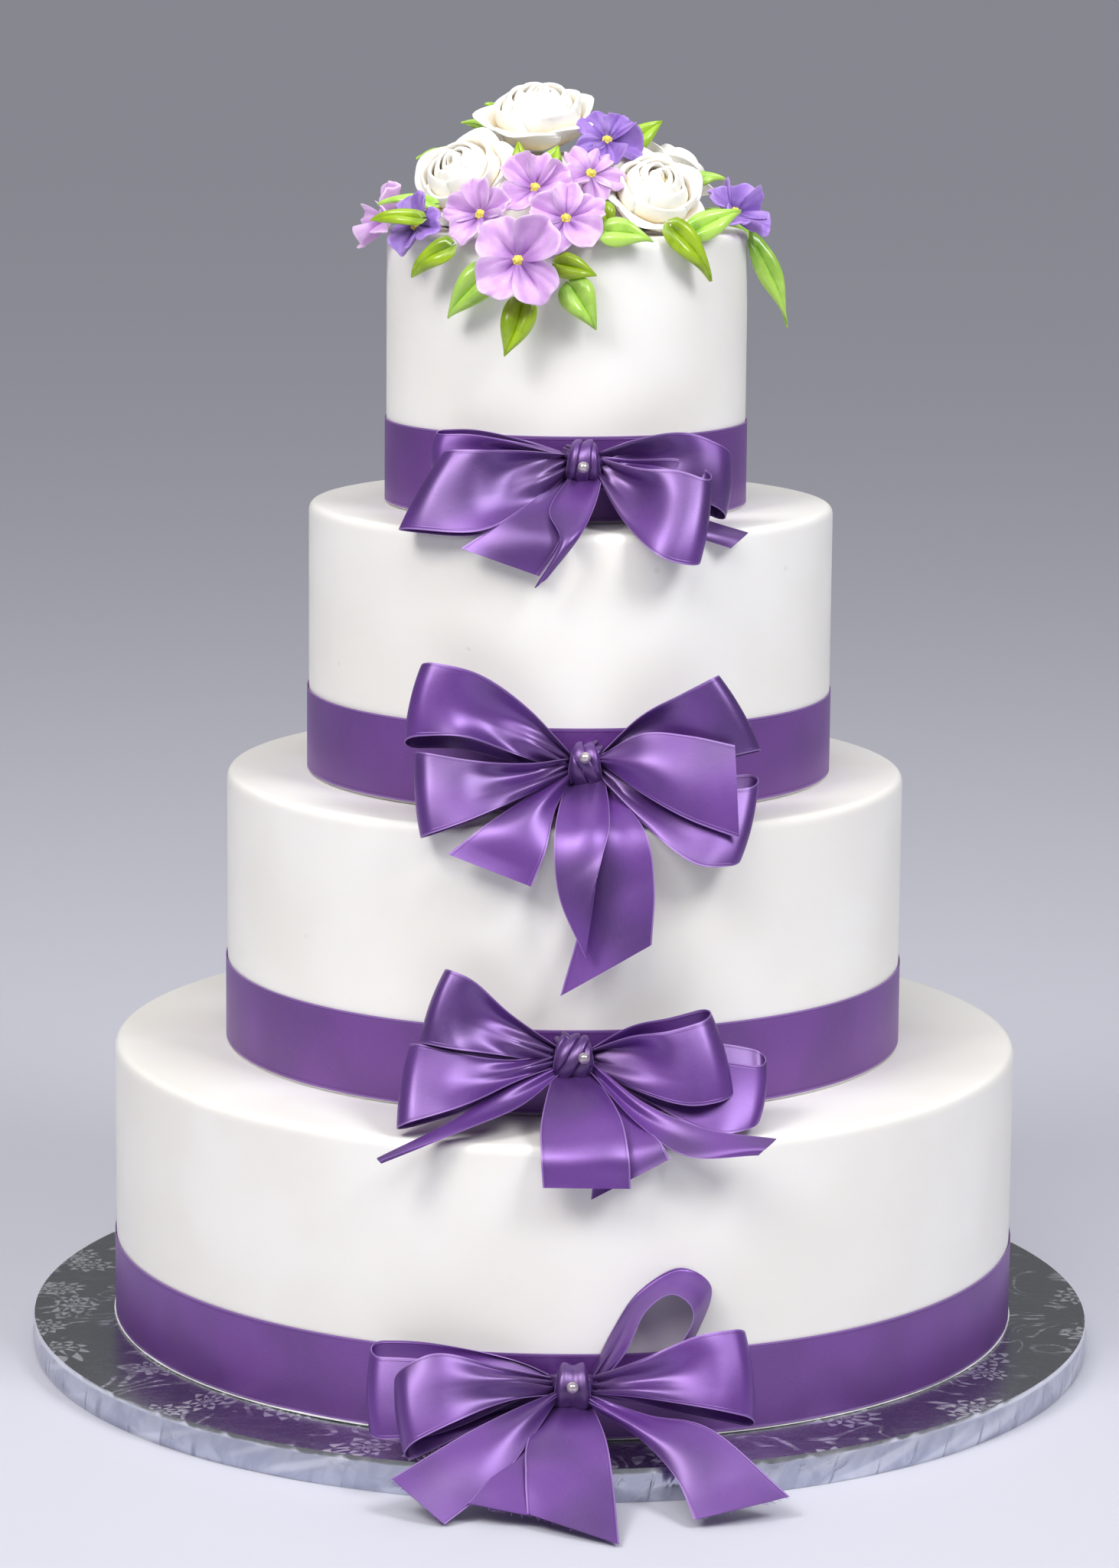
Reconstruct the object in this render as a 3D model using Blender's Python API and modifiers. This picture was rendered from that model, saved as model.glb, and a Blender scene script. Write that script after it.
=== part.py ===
"""A four-tier wedding cake on its foil-covered board, with satin bands, bows and piped flowers.

Run with: blender --background --python part.py
Metres, +Z up. The origin is the middle of the board's underside and the front faces -Y.
"""
import math

import bmesh
import bpy
import numpy as np
from mathutils import Matrix, Vector
from mathutils.bvhtree import BVHTree

MM = 0.001
GAP = 0.3 * MM
SEGMENTS = 36

BOARD_RADIUS = 252.5 * MM
BOARD_FOOT_RADIUS = 254 * MM
BOARD_THICK = 15.5 * MM
BOARD_EDGE = 1.5 * MM

# Each tier, bottom first: centre across, radius, height.
TIERS = (
    (1.1 * MM, 214.0 * MM, 132.4 * MM),
    (0.0 * MM, 159.5 * MM, 129.0 * MM),
    (1.6 * MM, 122.6 * MM, 126.0 * MM),
    (-0.9 * MM, 83.8 * MM, 127.0 * MM),
)
TIER_EDGE = 5 * MM
EDGE_STEPS = 2

RIBBON_WIDTH = 38.1 * MM
SATIN_THICK = 0.6 * MM
BAND_LIFT = 1.0 * MM
SATIN_CLEARANCE = 1.8 * MM
FORWARD_STEP = 0.5 * MM

KNOT_SIZE = (9 * MM, 11 * MM, 8 * MM)
KNOT_STANDOFF = 9 * MM
KNOT_SEGMENTS = 10
KNOT_RINGS = 7
KNOT_HOLD = 0.4
PEARL_RADIUS = 2.6 * MM
PEARL_SEGMENTS = 8
PEARL_RINGS = 5
LOOP_ROWS = 4
LOOP_COLUMNS = 3
LOOP_START = (5 * MM, 3 * MM)
LOOP_PLUMP = 2.1
LOOP_BELLY = 0.35
TAIL_ROWS_A_SPAN = 1.5
TAIL_COLUMNS = 2
TAIL_BELLY = 2 * MM

MOUND_CENTRE = (-4, -2, 0)
MOUND_SIZE = (62 * MM, 60 * MM, 40 * MM)
MOUND_SPOKES = 18
MOUND_RINGS = 5
MOUND_TOP_RING = math.radians(77)
MOUND_SHRINK = 0.96

PETAL_ROUNDNESS = 0.45
ROSE_SPOKES = 16
ROSE_NOTCH = 0.16
ROSE_DIP = 0.10
FLOWER_THICK = 1.3 * MM
FLOWER_CENTRE = 2.6 * MM
FLOWER_STEPS = 15
FLOWER_NOTCH = 0.34
FLOWER_WAVE = 0.07
PETAL_CLEARANCE = 2.0 * MM
LEAF_THICK = 1.6 * MM
LEAF_ROWS = 4
LEAF_FURROW = 1.2 * MM
LEAF_ARCH = 0.10
LEAF_POINT = 0.6 * MM

# Each bow, bottom first: knot across, knot above the tier's foot, lean back in degrees, pearl right and up.
BOWS = (
    (5.6 * MM, 27.5 * MM, 18.4, (0, -0.5 * MM)),
    (5.0 * MM, 29.0 * MM, 14.6, (4.5 * MM, -0.5 * MM)),
    (8.8 * MM, 24.5 * MM, 10.8, (0, 3.0 * MM)),
    (7.0 * MM, 29.0 * MM, 7.3, (0, -2.5 * MM)),
)

# The strips of satin in each bow, laid out by hand in millimetres from the knot: right, up, out.
# A loop has how fat it is, how far up it opens, and its upper and lower edges out to the fold.
# A tail has its two edges out to the cut end.
LOOPS = (
    (
        ("upper left", 15, -0.45,
         ((-26, 9, 1), (-62, 17, 2), (-90, 19, -2)),
         ((-24, -5, 3), (-58, -15, 6), (-89, -17, 2))),
        ("lower left", 13, 0.45,
         ((-30, 6, 9), (-58, 10, 14), (-78, 2, 12)),
         ((-26, -8, 12), (-50, -19, 20), (-72, -31, 22))),
        ("right", 13, 0.4,
         ((30, 10, 11), (54, 20, 12), (77, 24, 4)),
         ((30, -6, 12), (58, -11, 16), (80, -16, 8))),
    ),
    (
        ("upper left", 11, 0.2,
         ((-28, 18, 7), (-44, 32, 10), (-57, 38, 8)),
         ((-30, 0, 9), (-52, 2, 12), (-68, 5, 8))),
        ("lower left", 11, 0.3,
         ((-26, -2, 6), (-50, 0, 9), (-72, 5, 6)),
         ((-24, -11, 12), (-48, -23, 20), (-77, -32, 22))),
        ("upper right", 12, -0.45,
         ((24, 12, 8), (42, 15, 14), (60, 20, 12)),
         ((28, -13, 13), (50, -18, 18), (71, -15, 13))),
        ("outer right", 14, -0.5,
         ((30, -2, 1), (60, 3, 0), (87, 0, -3)),
         ((32, -17, 8), (60, -29, 18), (83, -25, 9))),
    ),
    (
        ("upper left", 12, 0.3,
         ((-26, 23, 8), (-48, 37, 10), (-74, 43, 6)),
         ((-30, 3, 9), (-54, 9, 12), (-80, 9, 7))),
        ("lower left", 10, 0.3,
         ((-26, 0, 8), (-50, 1, 11), (-76, 5, 8)),
         ((-26, -14, 13), (-50, -25, 21), (-72, -33, 19))),
        ("upper right", 10, 0.2,
         ((24, 21, 6), (42, 31, 8), (60, 40, 8)),
         ((28, 2, 2), (54, 2, 4), (78, 7, 3))),
        ("lower right", 13, -0.4,
         ((28, -6, 6), (54, -8, 10), (79, -6, 6)),
         ((26, -24, 13), (48, -40, 23), (70, -41, 17))),
    ),
    (
        ("upper left", 11, -0.2,
         ((-26, 9, -1), (-48, 13, -4), (-67, 13, -10)),
         ((-28, -3, 0), (-50, -5, -4), (-69, -4, -10))),
        ("lower left", 11, 0.2,
         ((-26, 4, 8), (-44, 4, 10), (-62, 4, 6)),
         ((-22, -19, 12), (-46, -32, 20), (-82, -31, 12))),
        ("upper right", 12, 0.3,
         ((24, 8, 2), (46, 11, 2), (66, 4, -5)),
         ((26, -8, 1), (48, -17, 2), (64, -24, -2))),
        ("lower right", 12, -0.2,
         ((24, 0, 9), (42, -1, 15), (58, -6, 15)),
         ((18, -24, 14), (34, -39, 30), (53, -44, 28))),
    ),
)
TAILS = (
    (
        ("front left",
         ((-9, -3, 6), (-27, -11, 18), (-48, -22, 28), (-77, -40, 36)),
         ((-7, -6, 6), (-16, -20, 21), (-32, -41, 35), (-54, -59, 45))),
        ("inner left",
         ((-8, -8, 0), (-22, -22, 18), (-34, -38, 34), (-44, -50, 42)),
         ((-3, -9, 0), (-14, -22, 18), (-18, -38, 34), (-17, -55, 46))),
        ("middle",
         ((-9, -9, 2), (-19, -23, 24), (-20, -38, 36), (-19, -54, 46)),
         ((9, -9, 2), (15, -24, 24), (18, -44, 40), (20, -66, 67))),
        ("tall loop",
         ((8, 6, -4), (17, 24, -6), (28, 41, -6), (46, 52, -6), (60, 45, -6), (57, 30, -6),
          (46, 14, -5), (18, 3, -4)),
         ((10, 0, 4), (23, 15, 12), (31, 32, 16), (42, 40, 17), (51, 35, 17), (51, 26, 16),
          (39, 11, 12), (12, -1, 4))),
        ("right",
         ((9, -4, 4), (33, -12, 14), (60, -18, 24), (93, -46, 35)),
         ((8, -8, 4), (29, -22, 20), (44, -38, 33), (52, -56, 45))),
    ),
    (
        ("thin left",
         ((-7, -4, 2), (-30, -13, 14), (-54, -29, 28), (-85, -45, 42)),
         ((-5, -6, 2), (-22, -21, 20), (-44, -31, 34), (-83, -47, 43))),
        ("middle",
         ((-9, -8, 2), (-14, -28, 30), (-14, -43, 43), (-13, -57, 43)),
         ((9, -8, 2), (20, -25, 30), (24, -42, 43), (25, -57, 43))),
        ("inner right",
         ((3, -8, -2), (8, -28, 22), (9, -46, 36), (8, -62, 37)),
         ((8, -8, -2), (26, -26, 22), (37, -36, 36), (42, -44, 38))),
        ("right",
         ((9, -3, 5), (31, -20, 22), (58, -31, 36), (88, -35, 40)),
         ((8, -7, 5), (28, -29, 28), (50, -43, 42), (80, -42, 43))),
    ),
    (
        ("left",
         ((-8, -4, 2), (-24, -14, 14), (-42, -26, 23), (-60, -40, 24)),
         ((-6, -7, 2), (-13, -20, 18), (-17, -38, 28), (-23, -54, 29))),
        ("short middle",
         ((-8, -8, 1), (-13, -30, 27), (-11, -58, 32), (1, -85, 33)),
         ((9, -8, 4), (11, -26, 26), (8, -40, 34), (5, -52, 36))),
        ("long middle",
         ((2, -8, -3), (4, -30, 21), (0, -64, 24), (-10, -102, 25)),
         ((8, -8, -3), (26, -28, 21), (31, -52, 25), (30, -79, 26))),
        ("front right",
         ((8, 5, 4), (26, 14, 13), (46, 13, 17), (66, 9, 19)),
         ((8, 0, 4), (26, -13, 17), (46, -24, 26), (68, -32, 27))),
    ),
    (
        ("left",
         ((-8, -5, 0), (-22, -17, 14), (-36, -27, 24), (-54, -39, 24)),
         ((-1, -8, 0), (-6, -22, 16), (-10, -37, 28), (-19, -51, 30))),
        ("middle",
         ((-7, -8, 3), (-15, -22, 20), (-10, -36, 35), (-21, -56, 34)),
         ((8, -7, 2), (5, -20, 18), (-2, -34, 34), (-16, -52, 36))),
        ("small right",
         ((6, -6, -4), (30, -16, -1), (54, -25, 2), (74, -31, 4)),
         ((4, -9, -4), (28, -22, 2), (48, -32, 10), (66, -38, 12))),
    ),
)

# Roses: middle across, back and above the top of the cake, facing azimuth and elevation in degrees, radius.
ROSES = (
    ("rose_top", (-14, 0, 50), (262, 58), 26),
    ("rose_left", (-48, -26, 24), (236, 42), 24.0),
    ("rose_right", (39, -34, 18), (294, 46), 23.5),
    ("rose_back", (50, 15, 25), (30, 50), 18.0),
)
# How far out and how high each ring of a rose is for a radius of one, its petals, and their turn.
ROSE_RINGS = (
    (0.16, 0.50, 3, 0.0),
    (0.22, 0.32, 3, 0.0),
    (0.38, 0.46, 3, 1.0),
    (0.45, 0.22, 3, 1.0),
    (0.68, 0.34, 4, 0.3),
    (0.72, 0.10, 4, 0.3),
    (1.00, 0.12, 5, 0.0),
    (0.90, -0.06, 5, 0.0),
    (0.45, -0.40, 1, 0.0),
)
ROSE_TOP = 0.52
ROSE_FOOT = -0.44
# How far out and how high each ring of a flower is for a radius of one, past its middle.
FLOWER_RINGS = ((0.55, 0.02), (1.0, 0.16))
# Flowers: middle, facing, radius, spin and petal count.
FLOWERS = (
    ("lilac_flower_1", (-22, -97, -8), (268, 8), 21.5, 0, 4),
    ("lilac_flower_2", (-15, -54, 21), (268, 32), 17, 40, 5),
    ("lilac_flower_3", (10, -43.5, 27), (286, 34), 15, 16, 5),
    ("lilac_flower_4", (-1, -78, 9), (278, 28), 18, 56, 5),
    ("lilac_flower_5", (-39, -70, 10), (250, 28), 17, 60, 5),
    ("lilac_flower_6", (-84, -14, 4), (186, 25), 17, 30, 5),
    ("violet_flower_1", (18, -20, 45), (285, 52), 16.5, 15, 5),
    ("violet_flower_2", (-68, -58, 4), (222, 25), 14.5, 50, 4),
    ("violet_flower_3", (76, -24, 9), (335, 40), 17, 25, 5),
    ("violet_flower_4", (42, 46, 12), (50, 35), 17, 0, 5),
    ("violet_flower_5", (-62, 26, 12), (155, 35), 17, 25, 5),
    ("lilac_flower_7", (-32, 48, 18), (120, 40), 17, 0, 5),
    ("lilac_flower_8", (4, 54, 16), (85, 40), 17, 35, 5),
)
# Leaves: root and tip in millimetres from the middle of the cake's top, width and the way they face.
LEAVES = (
    ("leaf_1", (-20, -92, -28), (-26, -94, -51), 16, (270, 0)),
    ("leaf_2", (-36, -84, -15), (-54, -77, -35), 17, (250, 10)),
    ("leaf_3", (2, -91, -20), (14, -91, -38), 16, (275, 0)),
    ("leaf_4", (-4, -90, -10), (13, -90, -14), 12, (275, 15)),
    ("leaf_5", (17, -84, 4), (38, -83, 0), 15, (280, 40)),
    ("leaf_6", (47, -72, 5), (65, -67, -18), 14, (300, 15)),
    ("leaf_7", (57, -60, 3), (79, -50, 10), 14, (315, 40)),
    ("leaf_8", (86, -12, -6), (101, -6, -44), 12, (310, 5)),
    ("leaf_9", (-53, -77, -4), (-70, -68, -17), 14, (235, 30)),
    ("leaf_10", (-62, -44, 13), (-86, -42, 13), 9, (240, 60)),
    ("leaf_11", (-67, -66, 8), (-89, -58, 6), 9, (240, 40)),
    ("leaf_12", (-50, 2, 34), (-70, 4, 31), 8, (180, 50)),
    ("leaf_13", (-36, 18, 42), (-50, 20, 47), 9, (150, 50)),
    ("leaf_14", (-26, 22, 48), (-39, 26, 55), 9, (120, 50)),
    ("leaf_15", (-21, -37, 29), (-23, -34, 41), 8, (260, 30)),
    ("leaf_16", (-10, -35, 27), (-4, -32, 39), 12, (280, 40)),
    ("leaf_17", (28, 2, 38), (44, 6, 48), 12, (300, 40)),
    ("leaf_18", (56, -14, 22), (72, -10, 24), 10, (330, 50)),
    ("leaf_19", (16, -66, 15), (17, -68, 4), 9, (280, 40)),
    ("leaf_20", (-18, 66, 6), (-30, 88, -6), 14, (110, 30)),
    ("leaf_21", (22, 66, 5), (28, 89, -10), 14, (75, 30)),
    ("leaf_22", (66, 34, 5), (86, 40, -8), 14, (30, 30)),
)

WHITE_ICING = ("white icing", (0.87, 0.85, 0.81), 0.45, 0.0)
FOIL = ("silver foil", (0.62, 0.64, 0.67), 0.28, 0.9)
SATIN = ("purple satin", (0.20, 0.09, 0.32), 0.35, 0.0)
PEARL = ("pearl", (0.80, 0.77, 0.78), 0.2, 0.0)
ROSE_CREAM = ("rose buttercream", (0.93, 0.90, 0.80), 0.5, 0.0)
LILAC_CREAM = ("lilac buttercream", (0.53, 0.33, 0.69), 0.45, 0.0)
VIOLET_CREAM = ("violet buttercream", (0.28, 0.14, 0.56), 0.45, 0.0)
LEAF_CREAM = ("leaf buttercream", (0.30, 0.48, 0.04), 0.4, 0.0)


def clear_scene():
    for item in list(bpy.data.objects):
        bpy.data.objects.remove(item, do_unlink=True)


def new_collection(name):
    collection = bpy.data.collections.new(name)
    bpy.context.scene.collection.children.link(collection)
    return collection


def make_material(look):
    name, colour, roughness, metallic = look
    material = bpy.data.materials.get(name)
    if material is None:
        material = bpy.data.materials.new(name)
        material.use_nodes = True
        shader = material.node_tree.nodes["Principled BSDF"]
        shader.inputs["Base Color"].default_value = (*colour, 1)
        shader.inputs["Roughness"].default_value = roughness
        shader.inputs["Metallic"].default_value = metallic
    return material


def add_object(name, mesh, collection, look):
    item = bpy.data.objects.new(name, mesh)
    collection.objects.link(item)
    mesh.materials.clear()
    mesh.materials.append(make_material(look))
    return item


def smooth(mesh, angle=40):
    mesh.shade_smooth()
    mesh.set_sharp_from_angle(angle=math.radians(angle))


def applied_mesh(item):
    """The object's mesh with its modifiers applied."""
    graph = bpy.context.evaluated_depsgraph_get()
    return bpy.data.meshes.new_from_object(item.evaluated_get(graph))


def remove_with_mesh(item):
    mesh = item.data
    bpy.data.objects.remove(item, do_unlink=True)
    bpy.data.meshes.remove(mesh)


def turned(name, profile, collection, look, centre, closed=False):
    """A round piece: (radius, height) points turned about its own upright axis."""
    mesh = bpy.data.meshes.new(name)
    points = [(radius, 0, height) for radius, height in profile]
    edges = [(i, i + 1) for i in range(len(points) - 1)]
    if closed:
        edges.append((len(points) - 1, 0))
    mesh.from_pydata(points, edges, [])
    item = add_object(name, mesh, collection, look)
    item.location = centre
    screw = item.modifiers.new("turn", "SCREW")
    screw.steps = screw.render_steps = SEGMENTS
    screw.use_merge_vertices = True
    screw.merge_threshold = 0.01 * MM
    item.data = applied_mesh(item)
    item.modifiers.clear()
    smooth(item.data)
    return item


def rounded_corner(radius, height, size):
    """The top outer corner of a round piece, from its top face to its side."""
    for step in range(EDGE_STEPS + 1):
        angle = math.pi / 2 * (1 - step / EDGE_STEPS)
        yield radius - size + size * math.cos(angle), height - size + size * math.sin(angle)


def tier_feet():
    """The height of each tier's foot, bottom first."""
    foot = BOARD_THICK + GAP
    for _, _, height in TIERS:
        yield foot
        foot += height + GAP


def build_board(collection):
    profile = [
        (0, BOARD_THICK),
        (BOARD_RADIUS - BOARD_EDGE, BOARD_THICK),
        (BOARD_RADIUS, BOARD_THICK - BOARD_EDGE),
        (BOARD_FOOT_RADIUS, BOARD_EDGE),
        (BOARD_FOOT_RADIUS - BOARD_EDGE, 0),
        (0, 0),
    ]
    turned("board", profile, collection, FOIL, (0, 0, 0))


def build_tiers(collection):
    for number, ((across, radius, height), foot) in enumerate(zip(TIERS, tier_feet()), start=1):
        corner = list(rounded_corner(radius, height, TIER_EDGE))
        turned(f"tier_{number}", [(0, height), *corner, (radius, 0), (0, 0)], collection, WHITE_ICING,
               (across, 0, foot))


def build_bands(collection):
    """A ribbon round the foot of each tier, as a closed ring of satin."""
    for number, ((across, radius, _), foot) in enumerate(zip(TIERS, tier_feet()), start=1):
        inner = radius + GAP
        outer = inner + SATIN_THICK
        low = foot + BAND_LIFT
        high = low + RIBBON_WIDTH
        profile = [(outer, high), (outer, low), (inner, low), (inner, high)]
        turned(f"band_{number}", profile, collection, SATIN, (across, 0, 0), closed=True)


def cake_outlines():
    """Each round piece of the cake as centre across, radius, bottom and top, with the bands' radius."""
    yield 0, BOARD_FOOT_RADIUS, 0, BOARD_THICK
    for (across, radius, height), foot in zip(TIERS, tier_feet()):
        yield across, radius, foot, foot + height
        yield across, radius + GAP + SATIN_THICK, foot, foot + BAND_LIFT + RIBBON_WIDTH


def inside_cake(point, clearance):
    if point.z < clearance:
        return True
    for across, radius, bottom, top in cake_outlines():
        near = math.hypot(point.x - across, point.y) < radius + clearance
        if near and bottom - clearance < point.z < top + clearance:
            return True
    return False


def catmull_rom(points, where):
    """The point at a place from 0 to 1 on a smooth curve through all the points."""
    spans = len(points) - 1
    index = min(int(where * spans), spans - 1)
    part = where * spans - index
    here = points[index]
    after = points[index + 1]
    before = points[index - 1] if index > 0 else 2 * here - after
    beyond = points[index + 2] if index + 2 <= spans else 2 * after - here
    slope_in = (after - before) / 2
    slope_out = (beyond - here) / 2
    return (
        here * (2 * part ** 3 - 3 * part ** 2 + 1)
        + slope_in * (part ** 3 - 2 * part ** 2 + part)
        + after * (3 * part ** 2 - 2 * part ** 3)
        + slope_out * (part ** 3 - part ** 2)
    )


def vectors(points):
    return [Vector(point) * MM for point in points]


def cross_row(upper, lower, belly, columns):
    """Points across a strip of satin, bowed out in the middle."""
    row = []
    for column in range(columns + 1):
        side = column / columns
        bow = belly * 4 * side * (1 - side)
        row.append(upper.lerp(lower, side) + bow)
    return row


def loop_rows(fat, opening, upper, lower):
    """A loop: a front leaf out to the fold and a back leaf home again."""
    side = 1 if upper[-1][0] > 0 else -1
    across, up = LOOP_START
    upper = [Vector((across * side, up, 0)), *vectors(upper)]
    lower = [Vector((across * side, -up, 0)), *vectors(lower)]
    outward = Vector((0, opening, 1)).normalized() * fat * MM / 2
    rows = []
    for step in range(2 * LOOP_ROWS + 1):
        ease = 1 - abs(1 - step / LOOP_ROWS)
        along = 1 - (1 - ease) ** 2
        plump = LOOP_PLUMP * along ** 0.8 * (1 - ease)
        leaf = outward * plump * (1 if step <= LOOP_ROWS else -1)
        top = catmull_rom(upper, along) + leaf
        bottom = catmull_rom(lower, along) + leaf
        rows.append(cross_row(top, bottom, leaf * LOOP_BELLY, LOOP_COLUMNS))
    return rows


def tail_rows(left, right):
    """A tail: a strip from inside the knot out to its cut end."""
    left = vectors(left)
    right = vectors(right)
    left.insert(0, left[0] * KNOT_HOLD)
    right.insert(0, right[0] * KNOT_HOLD)
    belly = Vector((0, 0, TAIL_BELLY))
    steps = round(TAIL_ROWS_A_SPAN * (len(left) - 1))
    rows = []
    for step in range(steps + 1):
        along = step / steps
        top = catmull_rom(left, along)
        bottom = catmull_rom(right, along)
        rows.append(cross_row(top, bottom, belly * along, TAIL_COLUMNS))
    return rows


def bow_frame(tier, across, above, lean):
    """Right, up and out of a bow, set on the front of its band and tipped back by its lean."""
    radius = TIERS[tier][1] + GAP + SATIN_THICK + KNOT_STANDOFF
    foot = list(tier_feet())[tier]
    facing = Matrix.Rotation(math.radians(90 - lean), 4, "X")
    return Matrix.Translation((across, -radius, foot + above)) @ facing


def brought_forward(rows, frame, clearance):
    """The rows of points in the room, each moved out of its frame until it clears the cake."""
    out = (frame.to_3x3() @ Vector((0, 0, 1))).normalized()
    points = [[frame @ point for point in row] for row in rows]
    moves = np.zeros((len(rows), len(rows[0])))
    for i, row in enumerate(points):
        for j, point in enumerate(row):
            while inside_cake(point + out * moves[i, j], clearance):
                moves[i, j] += FORWARD_STEP
    needed = moves.copy()
    for _ in range(2):
        spread = np.pad(moves, ((1, 1), (0, 0)), "edge")
        spread = (spread[:-2] + 2 * spread[1:-1] + spread[2:]) / 4
        moves = np.maximum(needed, spread)
    return [[point + out * move for point, move in zip(row, line)] for row, line in zip(points, moves)]


def strip_object(name, rows, collection, look):
    """A sheet from a grid of points, its faces all split into triangles alike."""
    columns = len(rows[0])
    points = [tuple(point) for row in rows for point in row]
    faces = []
    for i in range(len(rows) - 1):
        for j in range(columns - 1):
            a = i * columns + j
            faces.append((a, a + columns, a + columns + 1))
            faces.append((a, a + columns + 1, a + 1))
    mesh = bpy.data.meshes.new(name)
    mesh.from_pydata(points, [], faces)
    return add_object(name, mesh, collection, look)


def ball_object(name, size, collection, look, place, segments, rings):
    shape = bmesh.new()
    bmesh.ops.create_uvsphere(shape, u_segments=segments, v_segments=rings, radius=1)
    bmesh.ops.transform(shape, matrix=place @ Matrix.Diagonal((*size, 1)), verts=shape.verts)
    bmesh.ops.triangulate(shape, faces=shape.faces)
    mesh = bpy.data.meshes.new(name)
    shape.to_mesh(mesh)
    shape.free()
    return add_object(name, mesh, collection, look)


def keep_largest_shell(mesh):
    """Drop the scraps and the sealed hollows that joining can leave."""
    shape = bmesh.new()
    shape.from_mesh(mesh)
    unseen = set(shape.verts)
    shells = []
    while unseen:
        start = unseen.pop()
        shell = {start}
        edge_of_shell = [start]
        while edge_of_shell:
            vert = edge_of_shell.pop()
            for edge in vert.link_edges:
                other = edge.other_vert(vert)
                if other in unseen:
                    unseen.remove(other)
                    shell.add(other)
                    edge_of_shell.append(other)
        shells.append(shell)
    shells.sort(key=len)
    for shell in shells[:-1]:
        bmesh.ops.delete(shape, geom=list(shell), context="VERTS")
    shape.to_mesh(mesh)
    shape.free()


def fuse(item, pieces):
    """Join every object of a collection to the item, then remove them."""
    union = item.modifiers.new("fuse", "BOOLEAN")
    union.operation = "UNION"
    union.operand_type = "COLLECTION"
    union.collection = pieces
    union.solver = "MANIFOLD"
    mesh = applied_mesh(item)
    item.modifiers.clear()
    item.data = mesh
    for piece in list(pieces.objects):
        remove_with_mesh(piece)
    bpy.data.collections.remove(pieces)
    keep_largest_shell(mesh)
    smooth(mesh, 35)


def build_bow(tier, collection):
    across, above, lean, pearl_at = BOWS[tier]
    frame = bow_frame(tier, across, above, lean)
    pieces = new_collection(f"strips of bow {tier + 1}")
    for name, fat, opening, upper, lower in LOOPS[tier]:
        rows = brought_forward(loop_rows(fat, opening, upper, lower), frame, SATIN_CLEARANCE)
        thicken(strip_object(name, rows, pieces, SATIN), SATIN_THICK)
    for name, left, right in TAILS[tier]:
        rows = brought_forward(tail_rows(left, right), frame, SATIN_CLEARANCE)
        thicken(strip_object(name, rows, pieces, SATIN), SATIN_THICK)
    bow = ball_object(f"bow_{tier + 1}", KNOT_SIZE, collection, SATIN, frame, KNOT_SEGMENTS, KNOT_RINGS)
    fuse(bow, pieces)
    seat = KNOT_SIZE[2] + PEARL_RADIUS + GAP
    place = frame @ Matrix.Translation((*pearl_at, seat))
    size = (PEARL_RADIUS,) * 3
    pearl = ball_object(f"pearl_{tier + 1}", size, collection, PEARL, place, PEARL_SEGMENTS, PEARL_RINGS)
    smooth(pearl.data)


def top_point(point):
    """Millimetres from the middle of the top tier's top, in the room."""
    across, _, height = TIERS[-1]
    top = list(tier_feet())[-1] + height
    return Vector((across, 0, top)) + Vector(point) * MM


def facing_vector(facing):
    azimuth, elevation = (math.radians(angle) for angle in facing)
    level = math.cos(elevation)
    return Vector((math.cos(azimuth) * level, math.sin(azimuth) * level, math.sin(elevation)))


def facing_frame(middle, facing):
    """A frame on the top tier whose third axis looks along an azimuth and elevation."""
    turn = facing_vector(facing).to_track_quat("Z", "Y").to_matrix().to_4x4()
    return Matrix.Translation(top_point(middle)) @ turn


def lobe(angle, petals):
    """From 0 between two petals to 1 at the middle of a petal."""
    return abs(math.sin(angle * petals / 2)) ** PETAL_ROUNDNESS


def closed_rings(name, top, rings, foot, collection, look):
    """A closed body from rings of points between a top point and a foot point."""
    count = len(rings[0])
    points = [top, *(point for ring in rings for point in ring), foot]
    last = len(points) - 1
    faces = []
    for step in range(count):
        after = (step + 1) % count
        faces.append((0, 1 + step, 1 + after))
        faces.append((last, last - count + after, last - count + step))
        for ring in range(len(rings) - 1):
            a = 1 + ring * count
            b = a + count
            faces.append((a + step, b + step, b + after))
            faces.append((a + step, b + after, a + after))
    mesh = bpy.data.meshes.new(name)
    mesh.from_pydata([tuple(point) for point in points], [], faces)
    item = add_object(name, mesh, collection, look)
    smooth(mesh, 50)
    return item


def build_rose(name, middle, facing, size, collection):
    """A bud inside three rings of overlapping petals, as one piece of buttercream."""
    frame = facing_frame(middle, facing)
    radius = size * MM
    rings = []
    for reach, lift, petals, turn in ROSE_RINGS:
        ring = []
        for step in range(ROSE_SPOKES):
            angle = 2 * math.pi * step / ROSE_SPOKES
            full = lobe(angle + turn, petals) if petals > 1 else 1
            out = radius * reach * (1 - ROSE_NOTCH * (1 - full))
            up = radius * (lift - ROSE_DIP * reach * (1 - full))
            ring.append(frame @ Vector((out * math.cos(angle), out * math.sin(angle), up)))
        rings.append(ring)
    top = frame @ Vector((0, 0, radius * ROSE_TOP))
    foot = frame @ Vector((0, 0, radius * ROSE_FOOT))
    closed_rings(name, top, rings, foot, collection, ROSE_CREAM)


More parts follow.
